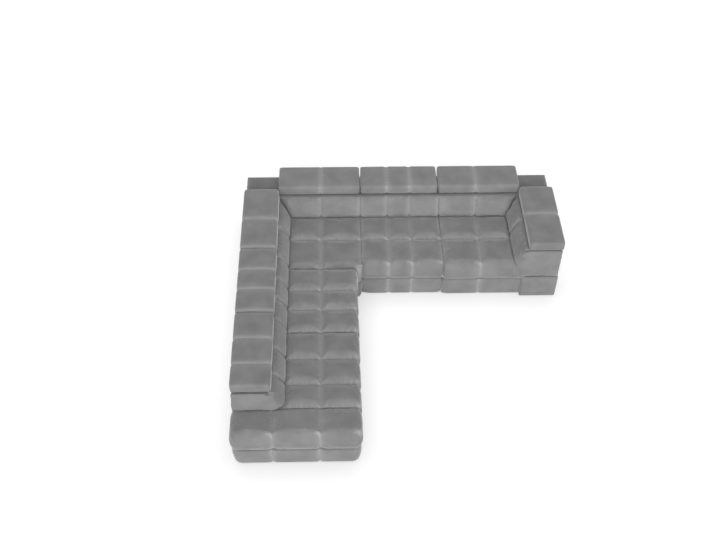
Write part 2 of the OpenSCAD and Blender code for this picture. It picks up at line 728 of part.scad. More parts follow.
module corner_side_headrest_frame() {
    in_side_run() headrest_frame(CORNER_SIDE_REST);
}

// Middle module
module middle_base_frame() {
    color(TIMBER) in_rear_run() union() frame_of(MIDDLE_BOX);
}

module middle_base_band() {
    in_rear_run() run_band(middle_x + joint_gap, right_x - joint_gap,
        [middle_x + middle_channel_1, middle_x + middle_channel_2], run_depth, band_z, seam_z - small_fit);
}

module middle_seat_cushion() {
    first = middle_x + middle_channel_1;
    second = middle_x + middle_channel_2;
    in_rear_run() tufted_seat(
        [[middle_x + joint_gap, first, 1], [first, second, 1], [second, right_x - joint_gap, 1]],
        [[-run_depth, -rear_channel, 1], [-rear_channel, -back_low_d, 1], [-back_low_d, -back_core_d, 0]]);
}

module middle_back_frame() {
    in_rear_run() back_frame(middle_x + frame_in, right_x - frame_in, 0, 0, [MIDDLE_REST]);
}

module middle_back_cushion() {
    color(FABRIC) in_rear_run() back_cushion([middle_x + joint_gap, 0], [right_x - joint_gap, 0],
        [middle_x + middle_channel_1, middle_x + middle_channel_2]);
}

module middle_back_cover() {
    in_rear_run() back_cover(middle_x + joint_gap, right_x - joint_gap, 0, 0, [MIDDLE_REST]);
}

module middle_headrest_pad() {
    in_rear_run() headrest_pad(MIDDLE_REST);
}

module middle_headrest_frame() {
    in_rear_run() headrest_frame(MIDDLE_REST);
}

// Right module with its arm
module right_base_frame() {
    color(TIMBER) in_rear_run() union() {
        frame_of(RIGHT_BOX);
        board(arm_x + frame_in, RIGHT_BOX[1], RIGHT_BOX[3], arm_depth - band_t, frame_z, base_top_z);
    }
}

module right_base_band() {
    in_rear_run() run_band(right_x + joint_gap, arm_x - joint_gap, [right_x + right_channel],
        right_depth, band_z, seam_z - small_fit);
}

module right_seat_cushion() {
    cut = right_x + right_channel;
    in_rear_run() tufted_seat(
        [[right_x + joint_gap, cut, 1], [cut, overall_w - back_low_d, 1],
            [overall_w - back_low_d, overall_w - back_core_d, 0]],
        [[-right_depth, -rear_channel, 1], [-rear_channel, -back_low_d, 1], [-back_low_d, -back_core_d, 0]]);
}

module right_back_frame() {
    in_rear_run() back_frame(right_x + frame_in, overall_w - joint_gap, 0, 1, [RIGHT_REST]);
}

module right_back_cushion() {
    color(FABRIC) in_rear_run() back_cushion([right_x + joint_gap, 0], [overall_w - 2 * joint_gap, -1],
        [right_x + right_channel]);
}

module right_back_cover() {
    in_rear_run() back_cover(right_x + joint_gap, overall_w - joint_gap, 0, 1, [RIGHT_REST]);
}

module right_headrest_pad() {
    in_rear_run() headrest_pad(RIGHT_REST);
}

module right_headrest_frame() {
    in_rear_run() headrest_frame(RIGHT_REST);
}

module arm_frame() {
    in_arm_run() back_frame(joint_gap, arm_depth - band_t, 1, 0, [ARM_REST]);
}

module arm_cushion() {
    color(FABRIC) in_arm_run()
        back_cushion([2 * joint_gap, 1], [arm_depth - 2 * joint_gap, 0], [arm_channel], 0, free_end);
}

module arm_cover() {
    in_arm_run() back_cover(joint_gap, arm_depth - band_t, 1, 0, [ARM_REST]);
}

module arm_front_band() {
    in_arm_run() padded_band(
        band_stretch([arm_depth - band_t, -back_core_d + small_fit], [arm_depth - band_t, 0], []),
        arm_seam_z + small_fit, back_z);
}

module arm_base_band() {
    in_arm_run() padded_band(
        band_stretch([arm_depth - band_t, -arm_w + joint_gap], [arm_depth - band_t, 0], []),
        band_z, arm_seam_z);
}

module arm_headrest_pad() {
    in_arm_run() headrest_pad(ARM_REST);
}

module arm_headrest_frame() {
    in_arm_run() headrest_frame(ARM_REST);
}

// Side module without arms
module left_base_frame() {
    color(TIMBER) in_side_run() union() frame_of(LEFT_BOX);
}

module left_base_band() {
    in_side_run() run_band(left_x + joint_gap, side_corner_x - joint_gap,
        [left_x + left_channel_1, left_x + left_channel_2], run_depth, band_z, seam_z - small_fit);
}

module left_seat_cushion() {
    first = left_x + left_channel_1;
    second = left_x + left_channel_2;
    in_side_run() tufted_seat(
        [[left_x + joint_gap, first, 1], [first, second, 1], [second, side_corner_x - joint_gap, 1]],
        [[-run_depth, -side_channel, 1], [-side_channel, -back_low_d, 1], [-back_low_d, -back_core_d, 0]]);
}

module left_back_frame() {
    in_side_run() back_frame(left_x + frame_in, side_corner_x - frame_in, 0, 0, [LEFT_REST]);
}

module left_back_cushion() {
    color(FABRIC) in_side_run() back_cushion([left_x + joint_gap, 0], [side_corner_x - joint_gap, 0],
        [left_x + left_channel_1, left_x + left_channel_2]);
}

module left_back_cover() {
    in_side_run() back_cover(left_x + joint_gap, side_corner_x - joint_gap, 0, 0, [LEFT_REST]);
}

module left_headrest_pad() {
    in_side_run() headrest_pad(LEFT_REST);
}

module left_headrest_frame() {
    in_side_run() headrest_frame(LEFT_REST);
}

// End module: a backed seat and an open row
module end_base_frame() {
    color(TIMBER) in_side_run() union() {
        frame_of(END_BOX);
        frame_of(ROW_BOX);
    }
}

module end_base_band() {
    in_side_run() run_band(end_x, left_x - joint_gap, [end_x + end_channel_1, end_x + end_channel_2],
        run_depth, band_z, seam_z - small_fit);
}

module end_seat_cushion() {
    first = end_x + end_channel_1;
    second = end_x + end_channel_2;
    in_side_run() tufted_seat(
        [[end_x + joint_gap, first, 1], [first, second, 1], [second, left_x - joint_gap, 1]],
        [[-run_depth, -side_channel, 1], [-side_channel, -back_low_d, 1], [-back_low_d, -back_core_d, 0]]);
}

module end_row_cushion() {
    in_side_run() tufted_seat([[0, end_x - joint_gap, 1]],
        [[-run_depth, -side_channel, 1], [-side_channel, -end_row_channel, 1], [-end_row_channel, 0, 1]]);
}

module end_row_band() {
    inner = run_depth - band_t;
    row = end_x - joint_gap;
    rear_side = band_stretch([row, -band_t], [band_t, -band_t], [], false);
    end_side = band_stretch([band_t, -band_t], [band_t, -inner],
        shares(band_t, inner, [end_row_channel, side_channel]), false);
    front_side = band_stretch([band_t, -inner], [row, -inner], []);
    in_side_run() padded_band(concat(rear_side, band_corner([band_t, -band_t], [0, 1], [-1, 0]),
        [for (i = [1 : len(end_side) - 1]) end_side[i]], band_corner([band_t, -inner], [-1, 0], [0, -1]),
        [for (i = [1 : len(front_side) - 1]) front_side[i]]), band_z, seam_z - small_fit);
}

module end_back_frame() {
    in_side_run() back_frame(end_x + cover_t, left_x - frame_in, 0, 0, [END_REST]);
}

module end_back_cushion() {
    color(FABRIC) in_side_run() back_cushion([end_x + joint_gap, 0], [left_x - joint_gap, 0],
        [end_x + end_channel_1, end_x + end_channel_2], 1, 0);
}

module end_back_cover() {
    color(FABRIC) in_side_run() union() {
        back_cover(end_x, left_x - joint_gap, 0, 0, [END_REST]);
        board(end_x, end_x + cover_t - small_fit, cover_t / 2, back_core_d - small_fit, base_top_z,
            back_z - cover_t / 2);
    }
}

module end_headrest_pad() {
    in_side_run() headrest_pad(END_REST);
}

module end_headrest_frame() {
    in_side_run() headrest_frame(END_REST);
}

// Shared hardware
module seat_springs() {
    color(STEEL) {
        in_rear_run() {
            springs_of(CORNER_BOX, deck_d, CORNER_BOX[1] - rail_t);
            springs_of(MIDDLE_BOX, MIDDLE_BOX[0] + rail_t, MIDDLE_BOX[1] - rail_t);
            springs_of(RIGHT_BOX, RIGHT_BOX[0] + rail_t, overall_w - deck_d);
        }
        in_side_run() {
            springs_of(LEFT_BOX, LEFT_BOX[0] + rail_t, LEFT_BOX[1] - rail_t);
            springs_of(END_BOX, END_BOX[0] + rail_t, END_BOX[1] - rail_t);
        }
    }
}

module ratchet_brackets() {
    color(STEEL) {
        in_rear_run() for (rest = [CORNER_REAR_REST, MIDDLE_REST, RIGHT_REST]) brackets(rest);
        in_side_run() for (rest = [CORNER_SIDE_REST, LEFT_REST, END_REST]) brackets(rest);
        in_arm_run() brackets(ARM_REST);
    }
}

module hinge_pins() {
    color(STEEL) {
        in_rear_run() for (rest = [CORNER_REAR_REST, MIDDLE_REST, RIGHT_REST]) pins(rest);
        in_side_run() for (rest = [CORNER_SIDE_REST, LEFT_REST, END_REST]) pins(rest);
        in_arm_run() pins(ARM_REST);
    }
}

module feet() {
    color(PLASTIC) {
        in_rear_run() for (box = [CORNER_BOX, MIDDLE_BOX, RIGHT_BOX])
            for (p = foot_places(box)) translate([p[0], p[1], 0]) foot();
        in_side_run() for (box = [LEFT_BOX, END_BOX, ROW_BOX])
            for (p = foot_places(box)) translate([p[0], p[1], 0]) foot();
    }
}

module module_connectors() {
    color(STEEL) {
        in_rear_run() for (x = [middle_x, right_x])
            connectors_at(x - frame_in, 2 * frame_in, run_depth);
        in_side_run() for (x = [left_x, side_corner_x])
            connectors_at(x - frame_in, 2 * frame_in, run_depth);
    }
}

module dust_covers() {
    color(FELT) {
        in_rear_run() for (box = [CORNER_BOX, MIDDLE_BOX, RIGHT_BOX]) dust_cover(box);
        in_side_run() for (box = [LEFT_BOX, END_BOX, ROW_BOX]) dust_cover(box);
    }
}

corner_base_frame();
corner_base_band();
corner_seat_cushion();
corner_rear_back_frame();
corner_rear_back_cushion();
corner_rear_back_cover();
corner_side_back_frame();
corner_side_back_cushion();
corner_side_back_cover();
corner_rear_headrest_pad();
corner_rear_headrest_frame();
corner_side_headrest_pad();
corner_side_headrest_frame();
middle_base_frame();
middle_base_band();
middle_seat_cushion();
middle_back_frame();
middle_back_cushion();
middle_back_cover();
middle_headrest_pad();
middle_headrest_frame();
right_base_frame();
right_base_band();
right_seat_cushion();
right_back_frame();
right_back_cushion();
right_back_cover();
right_headrest_pad();
right_headrest_frame();
arm_frame();
arm_cushion();
arm_cover();
arm_front_band();
arm_base_band();
arm_headrest_pad();
arm_headrest_frame();
left_base_frame();
left_base_band();
left_seat_cushion();
left_back_frame();
left_back_cushion();
left_back_cover();
left_headrest_pad();
left_headrest_frame();
end_base_frame();
end_base_band();
end_seat_cushion();
end_row_cushion();
end_row_band();
end_back_frame();
end_back_cushion();
end_back_cover();
end_headrest_pad();
end_headrest_frame();
seat_springs();
ratchet_brackets();
hinge_pins();
feet();
module_connectors();
dust_covers();
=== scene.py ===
import math
import bpy
import numpy as np
from mathutils import Matrix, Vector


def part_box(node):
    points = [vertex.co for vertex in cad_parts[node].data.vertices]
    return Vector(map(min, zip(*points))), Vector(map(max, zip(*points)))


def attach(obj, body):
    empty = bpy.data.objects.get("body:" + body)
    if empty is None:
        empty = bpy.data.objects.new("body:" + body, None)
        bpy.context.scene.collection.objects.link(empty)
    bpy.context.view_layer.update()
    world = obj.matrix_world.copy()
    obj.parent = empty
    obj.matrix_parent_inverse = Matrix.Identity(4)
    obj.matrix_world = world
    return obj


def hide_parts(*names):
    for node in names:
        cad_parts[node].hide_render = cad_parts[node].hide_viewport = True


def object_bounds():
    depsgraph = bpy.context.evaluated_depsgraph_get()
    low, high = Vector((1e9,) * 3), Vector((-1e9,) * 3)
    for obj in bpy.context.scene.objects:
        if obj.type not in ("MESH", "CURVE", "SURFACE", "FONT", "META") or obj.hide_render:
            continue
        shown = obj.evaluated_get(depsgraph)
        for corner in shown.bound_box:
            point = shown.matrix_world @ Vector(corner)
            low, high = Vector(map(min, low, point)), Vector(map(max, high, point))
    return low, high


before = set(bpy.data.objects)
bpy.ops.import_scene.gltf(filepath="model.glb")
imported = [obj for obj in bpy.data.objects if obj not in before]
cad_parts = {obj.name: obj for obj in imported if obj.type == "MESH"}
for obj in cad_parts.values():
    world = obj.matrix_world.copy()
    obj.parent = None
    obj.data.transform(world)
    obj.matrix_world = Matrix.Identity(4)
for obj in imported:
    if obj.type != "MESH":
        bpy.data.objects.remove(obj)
CAD_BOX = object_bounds()

# Millimetres throughout; MM turns them to Blender's metres
MM = 0.001
FAR_AWAY = 1e4

# Channels from each module's own edge, as the part has them
SIDE_CHANNEL = 724
REAR_CHANNEL = 730
MIDDLE_CHANNELS = (258, 478)
RIGHT_CHANNEL = 356
LEFT_CHANNELS = (258, 493)
END_CHANNELS = (240, 508)
END_ROW_CHANNEL = 335
ARM_CHANNEL = 700

# Levels and depths of the upholstery, and how far a seat reaches in under a back
CHANNEL_Z = 416
SEAT_RISE = 32
SEAM_Z = 220
BACK_Z = 605
BACK_CORE_D = 300
SEAT_UNDER = 122
BAND_T = 28
BAND_LOW = 3
COVER_T = 14

# Softness of the fabric: how wide a channel's shoulders are, how deep it pulls in, and its pleats
SHOULDER = 100
PAD_SHOULDER = 48
SEAT_DRAW = 24
BACK_DRAW = 28
HEADREST_DRAW = 8
BAND_DRAW = 14
END_PULL = 0.8
PLEAT_W = 17
PLEAT_H = 5
PLEAT_REACH = 24
GATHER_W = 12
GATHER_H = 4
GRID_STEP = 8
BESIDE_SEAM = (-5, -2, 0, 2, 5)

# Tones of the velvet: how far from a seam the pile opens and the painted sheen reaches, and the width and
# darkness of a thread line and of the painted shade in a sewn seam's groove
SEAM_TONE_REACH = 24
THREAD_W = 2.2
THREAD_SHADE = 0.3
SEAM_W = 12
SEAM_SHADE = 0.45

# How far the row's front stands before its frame, and the radius of its corners
ROW_FORWARD = 12
ROW_R = 72

# Headrests: how far the soft pad stands past its core, and the hinges inside it
HEADREST_T = 96
HEADREST_GROW = 6
HEADREST_REACH = 9
HINGE_INSET = 140
BRACKET_LEAN = math.radians(42)
FOLD_ANGLE = math.radians(85)
SLIT_HALF = 4
SLIT_ROOM = 11.5
HUB_R = 29

# The runs of modules: where each starts, and the cosine and sine of its quarter turn
HALF_W = CAD_BOX[1].x / MM
HALF_D = CAD_BOX[1].y / MM
FAR_D = 2 * HALF_D
RUNS = {"rear": (-HALF_W, HALF_D, 1, 0), "side": (-HALF_W, -HALF_D, 0, 1), "arm": (HALF_W, HALF_D, 0, -1)}

COVERS = []


def from_run(run, points):
    """World metres of a run's points in mm, (x along it, y rearward, z up): a quarter turn and a move."""
    x0, y0, cos, sin = RUNS[run]
    x, y, z = np.moveaxis(np.asarray(points, float), -1, 0)
    return np.stack([x0 + cos * x - sin * y, y0 + sin * x + cos * y, z], -1) * MM


def run_box(run, node):
    """Extent of a CAD node in a run's mm: from, to, nearest and furthest from the rear face, low, high."""
    x0, y0, cos, sin = RUNS[run]
    corners = np.array([list(c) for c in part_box(node)]) / MM
    x = corners[:, 0] - x0
    y = corners[:, 1] - y0
    along = np.sort(cos * x + sin * y)
    forward = np.sort(sin * x - cos * y)
    return along[0], along[1], forward[0], forward[1], corners[0, 2], corners[1, 2]


def ease(t):
    """Smooth step: 0 below 0, 1 above 1, 3tt - 2ttt between."""
    t = np.clip(t, 0, 1)
    return t * t * (3 - 2 * t)


def quarter_round(away, radius):
    """How far a quarter circle draws in, by the distance from its end: from its radius down to nothing."""
    left = np.clip(1 - away / radius, 0, 1)
    return radius * (1 - np.sqrt(1 - left ** 2))


def soft_noise(x, y, size, seed):
    """Value noise from -1 to 1: random heights on a square grid of that size, eased between its points."""
    heights = np.random.default_rng(seed).uniform(-1, 1, (64, 64))
    u, v = np.broadcast_arrays(np.asarray(x, float) / size, np.asarray(y, float) / size)
    i, j = np.floor(u).astype(int), np.floor(v).astype(int)
    a, b = ease(u - i), ease(v - j)
    low = heights[i % 64, j % 64] * (1 - a) + heights[(i + 1) % 64, j % 64] * a
    high = heights[i % 64, (j + 1) % 64] * (1 - a) + heights[(i + 1) % 64, (j + 1) % 64] * a
    return low * (1 - b) + high * b


def gap_to(places, seams):
    """Distance from each place to its nearest seam."""
    places = np.asarray(places, float)
    if len(seams) == 0:
        return np.full(places.shape, FAR_AWAY)
    return np.abs(places[..., None] - np.asarray(seams, float)).min(-1)


def fullness(places, seams, shoulder=SHOULDER):
    """0 at a seam and 1 past its shoulder: one less the part of the shoulder that is left, cubed."""
    return 1 - np.clip(1 - gap_to(places, seams) / shoulder, 0, 1) ** 3


def pleats(along, across, seed, reach=PLEAT_REACH):
    """Gathers that cross a seam: noise along it, stretched across it and fading with the distance."""
    folds = soft_noise(along, across * 0.35, PLEAT_W, seed)
    return folds * np.exp(-across / reach) * (1 - np.exp(-across / 3))


def stops(a, b, seams=()):
    """Places from a to b about one grid step apart, with closer ones on and beside each seam."""
    even = np.linspace(a, b, int(np.ceil((b - a) / GRID_STEP)) + 1)
    beside = (np.asarray(seams, float)[:, None] + np.array(BESIDE_SEAM)).ravel()
    beside = beside[(beside > a) & (beside < b)]
    even = even[gap_to(even, beside) > 0.3 * GRID_STEP]
    return np.unique(np.concatenate([[a], even, beside, [b]]))


def closed_object(name, points, faces, tones):
    """A closed mesh of points in metres and arrays of quads and triangles, turned outward by its volume."""
    corners = np.concatenate([f[:, :3] for f in faces] + [f[:, [0, 2, 3]] for f in faces if f.shape[1] == 4])
    a, b, c = (points[corners[:, k]] for k in range(3))
    if np.einsum("ij,ij->", a, np.cross(b, c)) < 0:
        faces = [f[:, ::-1] for f in faces]
    mesh = bpy.data.meshes.new(name)
    mesh.vertices.add(len(points))
    mesh.vertices.foreach_set("co", points.astype(np.float32).ravel())
    loops = np.concatenate([f.ravel() for f in faces]).astype(np.int32)
    sizes = np.concatenate([np.full(len(f), f.shape[1]) for f in faces])
    mesh.loops.add(len(loops))
    mesh.loops.foreach_set("vertex_index", loops)
    mesh.polygons.add(len(sizes))
    mesh.polygons.foreach_set("loop_start", (np.cumsum(sizes) - sizes).astype(np.int32))
    mesh.polygons.foreach_set("use_smooth", np.ones(len(sizes), bool))
    mesh.update(calc_edges=True)
    for key, values in tones.items():
        mesh.attributes.new(key, "FLOAT", "POINT").data.foreach_set("value", values.astype(np.float32))
    piece = bpy.data.objects.new(name, mesh)
    bpy.context.scene.collection.objects.link(piece)
    return piece


def upholster(piece, body, nodes):
    """Dresses a padded piece in velvet, puts it on its body and lets it stand for its CAD nodes."""
    piece.data.materials.append(MATERIALS["velvet"])
    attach(piece, body)
    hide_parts(*nodes)
    COVERS.append(piece)


# Outlines and the pads that are swept along a path

def evenly(curve, count):
    """A closed curve's rows, spaced evenly by their distance in the first two columns."""
    ring = np.vstack([curve, curve[:1]])
    run = np.concatenate([[0], np.cumsum(np.linalg.norm(np.diff(ring[:, :2], axis=0), axis=1))])
    at = np.linspace(0, run[-1], count, endpoint=False)
    return np.stack([np.interp(at, run, column) for column in ring.T], -1)


def soft_outline(corners, count):
    """Closed outline through corners of (out, height, cut, share): each corner is bridged by a parabola
    from one cut before it to one cut past it. Gives out, height, share drawn in at a seam, and normal."""
    c = np.asarray(corners, float)
    t = np.linspace(0, 1, 9)[None, :, None]

    def part_way(other):
        length = np.linalg.norm(other[:, :2] - c[:, :2], axis=1, keepdims=True)
        share = np.minimum(c[:, 2:3] / length, 0.5)
        return (c + share * (other - c))[:, None, [0, 1, 3]]

    start, end = part_way(np.roll(c, 1, axis=0)), part_way(np.roll(c, -1, axis=0))
    middle = c[:, None, [0, 1, 3]]
    curve = evenly(((1 - t) ** 2 * start + 2 * t * (1 - t) * middle + t ** 2 * end).reshape(-1, 3), count)
    way = np.roll(curve, -1, axis=0)[:, :2] - np.roll(curve, 1, axis=0)[:, :2]
    way /= np.linalg.norm(way, axis=1, keepdims=True)
    area = (curve[:, 0] * np.roll(curve[:, 1], -1) - curve[:, 1] * np.roll(curve[:, 0], -1)).sum()
    normal = np.stack([way[:, 1], -way[:, 0]], -1) * np.sign(area)
    return {"out": curve[:, 0], "z": curve[:, 1], "share": curve[:, 2], "normal": normal}


def end_stops(a, b, radius, seams):
    """Stops of a pad with round ends: even angles round each end's quarter circle, even steps between."""
    bend = radius * (1 - np.sin(np.linspace(np.pi / 2, 0, 6)))
    return np.unique(np.concatenate([a + bend, stops(a + radius, b - radius, seams), b - bend]))


def ring_faces(rings, count, first=0):
    """Quads between neighbouring rings of equally many points."""
    k, i = np.meshgrid(np.arange(rings - 1), np.arange(count), indexing="ij")
    a, b = first + k * count + i, first + k * count + (i + 1) % count
    return np.stack([a, a + count, b + count, b], -1).reshape(-1, 4)


def sewn_tube(name, run, rings, tones):
    """A closed piece from rings (m, n, 3) in a run's mm; each end shrinks to a point in four steps."""
    shrink = np.array([0.25, 0.5, 0.75, 1])[:, None, None]
    ends = [rings[k].mean(0) + shrink * (rings[k] - rings[k].mean(0)) for k in (0, -1)]
    skin = np.concatenate([ends[0][:-1], rings, ends[1][:-1][::-1]])
    m, n = skin.shape[:2]
    poles = np.stack([rings[0].mean(0), rings[-1].mean(0)])
    points = np.concatenate([skin.reshape(-1, 3), poles])
    i = np.arange(n)
    near = np.stack([np.full(n, m * n), i, (i + 1) % n], -1)
    far = np.stack([np.full(n, m * n + 1), (m - 1) * n + (i + 1) % n, (m - 1) * n + i], -1)
    spread = {key: np.concatenate([np.tile(v[0], 3), v.ravel(), np.tile(v[-1], 3),
                                   [v[0].mean(), v[-1].mean()]]) for key, v in tones.items()}
    return closed_object(name, from_run(run, points), [ring_faces(m, n), near, far], spread)


def pad_tones(gap, pull):
    """Vertex tones of the velvet: 'pile_and_highlight', pile opened and painted sheen on the shoulders of a
    seam, and 'thread_and_shade', the thread line in it. 'hold' is where the cover is held: in its seams and
    wherever it isn't drawn in."""
    hold = np.clip(1.4 - gap / 10, 0, 1) + np.clip(1 - 1.6 * pull, 0, 1)
    return {"pile_and_highlight": pull * np.exp(-gap / SEAM_TONE_REACH),
            "thread_and_shade": THREAD_SHADE * pull * np.exp(-(gap / THREAD_W) ** 2), "hold": np.clip(hold, 0, 1)}


def painted_seam_shade(away):
    """Painted shade in the groove of the sewn seam above a band, by the distance from it."""
    return SEAM_SHADE * np.exp(-(away / SEAM_W) ** 2)


def bracket_slits(x, out, z, hinges, pivot):
    """Opens a pad's underside at its hinges, where the fixed brackets sweep as the headrest folds: every
    point of the outline within the swept angle, or nearer to its two sides than the room a bar needs, is
    drawn along its own ray to the hub's circle round the pivot."""
    across, down = pivot[0] - out, pivot[1] - z
    turn = np.arctan2(across, down)
    swept = (turn < BRACKET_LEAN) & (turn > BRACKET_LEAN - FOLD_ANGLE)
    for angle in (BRACKET_LEAN, BRACKET_LEAN - FOLD_ANGLE):
        beside = np.abs(across * math.cos(angle) - down * math.sin(angle)) < SLIT_ROOM
        swept |= beside & (across * math.sin(angle) + down * math.cos(angle) > 0)
    shrink = HUB_R / np.hypot(across, down)
    cut = swept & (gap_to(x, hinges) < SLIT_HALF + 0.1)
    return x, np.where(cut, pivot[0] - across * shrink, out), np.where(cut, pivot[1] - down * shrink, z)


def straight_pad(node, run, a, b, outline, seams, draw, body, radius, skew=(0, 0), seed=1,
                 near_radius=None, hinges=(), bend=None, tucked=()):
    """A pad along a run from a to b: the outline is moved in at each seam, at its ends and by pleats
    beside the seams. A mitred end is slid along by its skew times the distance from the rear face, and what
    lies between it and the first seam is stretched evenly. A near radius rolls the near end toward the
    outline's middle. Bend is a last change of all points; tucked ends count as seams for opened pile and
    painted sheen."""
    u = end_stops(a, b, radius, seams)
    for hinge in hinges:
        u = np.union1d(u[np.abs(u - hinge) > 9], hinge + SLIT_HALF * np.array([-1.15, -1, 1, 1.15]))
    first, last = min(seams, default=b), max(seams, default=a)
    slide = skew[0] * np.clip((first - u) / (first - a), 0, 1)
    slide = slide + skew[1] * np.clip((u - last) / (b - last), 0, 1)
    x = u[:, None] + slide[:, None] * outline["out"]
    gap = gap_to(x, seams)
    share = outline["share"][None, :]
    sides = (np.roll(outline[key], -1) - outline[key] for key in ("out", "z"))
    step = np.arange(len(outline["out"])) * np.hypot(*sides).mean()
    rim = np.minimum(x - x[:1], x[-1:] - x)
    ends = quarter_round(np.minimum(u - a, b - u), radius)[:, None]
    inset = share * (draw * (1 - fullness(x, seams, PAD_SHOULDER)) + ends)
    inset = inset + share * END_PULL * draw * np.clip(1 - rim / PAD_SHOULDER, 0, 1) ** 2.4
    inset = inset + share * PLEAT_H * pleats(step[None, :], gap, seed)
    out = outline["out"] - outline["normal"][:, 0] * inset
    z = outline["z"] - outline["normal"][:, 1] * inset
    if near_radius:
        low = quarter_round(u - a, near_radius)[:, None]
        out, z = (v + (v.mean() - v) * low / (np.ptp(v) / 2) for v in (out, z))
    if bend:
        x, out, z = bend(x, out, z)
    gap = np.minimum(gap, gap_to(x, tucked))
    piece = sewn_tube(node + "_velvet", run, np.stack([x, -out, z], -1), pad_tones(gap, share))
    upholster(piece, body, [node])


def paired_path(inner, outer, radii):
    """Two paths through corners in the plan, matched leg by leg and, round each bend, angle by angle; a
    bend is a pair of arcs, each of its own radius. Gives both paths and distances along the outer one."""
    corners = np.stack([np.asarray(inner, float), np.asarray(outer, float)], 1)
    pieces = [corners[:1]]
    for k, pair in enumerate(radii, 1):
        back, on = (corners[k + e, 1] - corners[k, 1] for e in (-1, 1))
        back, on = back / np.linalg.norm(back), on / np.linalg.norm(on)
        angle = np.linspace(0, np.pi / 2, 24)[:, None, None]
        size = np.asarray(pair, float)[None, :, None]
        pieces.append(corners[k][None] + size * (back * (1 - np.sin(angle)) + on * (1 - np.cos(angle))))
    paths = np.concatenate(pieces + [corners[-1:]])
    steps = np.linalg.norm(np.diff(paths[:, 1], axis=0), axis=1)
    return paths, np.concatenate([[0], np.cumsum(steps)])


def swept_pad(nodes, run, inner, outer, radii, outlines, reaches, seams, draw, radius=8, foot=(0, 0),
              seed=1):
    """A pad carried round bends between an inner and an outer path, outward to the right of travel. Its
    outline eases from the first to the second through the bends, each given as parts of its reach; seams are
    distances along the outer path, and foot rounds the lower corners of the two ends."""
    paths, run_on = paired_path(inner, outer, radii)
    length = run_on[-1]
    seams = [length + c if c < 0 else c for c in seams]
    u = end_stops(0, length, radius, seams)
    at = np.array([[np.interp(u, run_on, paths[:, side, k]) for k in (0, 1)] for side in (0, 1)])
    at = at.transpose(0, 2, 1)
    span = np.linalg.norm(at[1] - at[0], axis=1, keepdims=True)
    way = (at[1] - at[0]) / span
    bends = (run_on[1], run_on[-2]) if radii else (0, length)
    w = ease((u - bends[0]) / (bends[1] - bends[0]))[:, None]
    part = (1 - w) * outlines[0]["out"] / reaches[0] + w * outlines[1]["out"] / reaches[1]
    mix = {key: (1 - w) * outlines[0][key] + w * outlines[1][key] for key in ("z", "share")}
    normal = (1 - w[..., None]) * outlines[0]["normal"] + w[..., None] * outlines[1]["normal"]
    gap = gap_to(u, seams)[:, None]
    step = np.arange(part.shape[1]) * 9.0
    ends = quarter_round(np.minimum(u, length - u), radius)[:, None]
    inset = mix["share"] * (draw * (1 - fullness(u, seams, PAD_SHOULDER))[:, None] + ends)
    inset = inset + mix["share"] * PLEAT_H * pleats(step[None, :], gap, seed)
    out = part * span - normal[..., 0] * inset
    z = mix["z"] - normal[..., 1] * inset
    low, high = z.min(), z.max()
    for size, left in ((foot[0], u), (foot[1], length - u)):
        if size:
            lift = quarter_round(left, size)[:, None] * np.clip(out / BAND_T, 0, 1)
            z = z + lift * (high - z) / (high - low)
    x, y = (at[0][:, k:k + 1] + way[:, k:k + 1] * out for k in (0, 1))
    tones = pad_tones(gap, mix["share"])
    # A band's top gets painted shade below its seam's groove
    if "band" in nodes[0]:
        tones["thread_and_shade"] = np.maximum(tones["thread_and_shade"], painted_seam_shade(z.max() - z))
    upholster(sewn_tube(nodes[0] + "_velvet", run, np.stack([x, y, z], -1), tones), "sofa", nodes)


# Tufted seats

# For each kind of edge: how wide its roll is, how deep it falls, and how far it stands before the sewn seam
ROLLS = {"joint": (5, 5, 0), "under": (6, 6, 0), "front": (50, 115, 30), "side": (38, 80, 8)}

# Radii of a seat's corners in plan, by the kinds of the two edges that meet
CORNERS = {("joint", "front"): 18, ("joint", "side"): 18}
TIGHT_CORNER = 3

# Where the pleats grow longer: from how far before a seat's front edge, and over what length
FRONT_FROM = 190
FRONT_OVER = 150

# The filling's lumps, and the patches in which the cover gathers
LUMP_SIZE = 90
LUMP_SHARE = 0.05
PATCH_SIZE = 130

# How the sides are drawn in: over what distance from a channel, how far at the seam, and the part when tight
SIDE_SHOULDER = 80
TUCK = 4
TIGHT = 0.15


def side_fullness(places, low, high, kinds, seams):
    """Crown of a row of cells: 0 at its seams and joints and under a back, a little lower at a free edge."""
    marks = list(seams) + [edge for edge, kind in zip((low, high), kinds) if kind == "joint"]
    crown = fullness(places, marks)
    for kind, edge, sign in ((kinds[0], low, 1), (kinds[1], high, -1)):
        if kind in ("front", "side"):
            crown = crown * (1 - 0.15 * np.clip(1 - sign * (places - edge) / 50, 0, 1) ** 2)
        if kind == "under":
            crown = crown * (sign * (places - edge) >= SEAT_UNDER)
    return crown


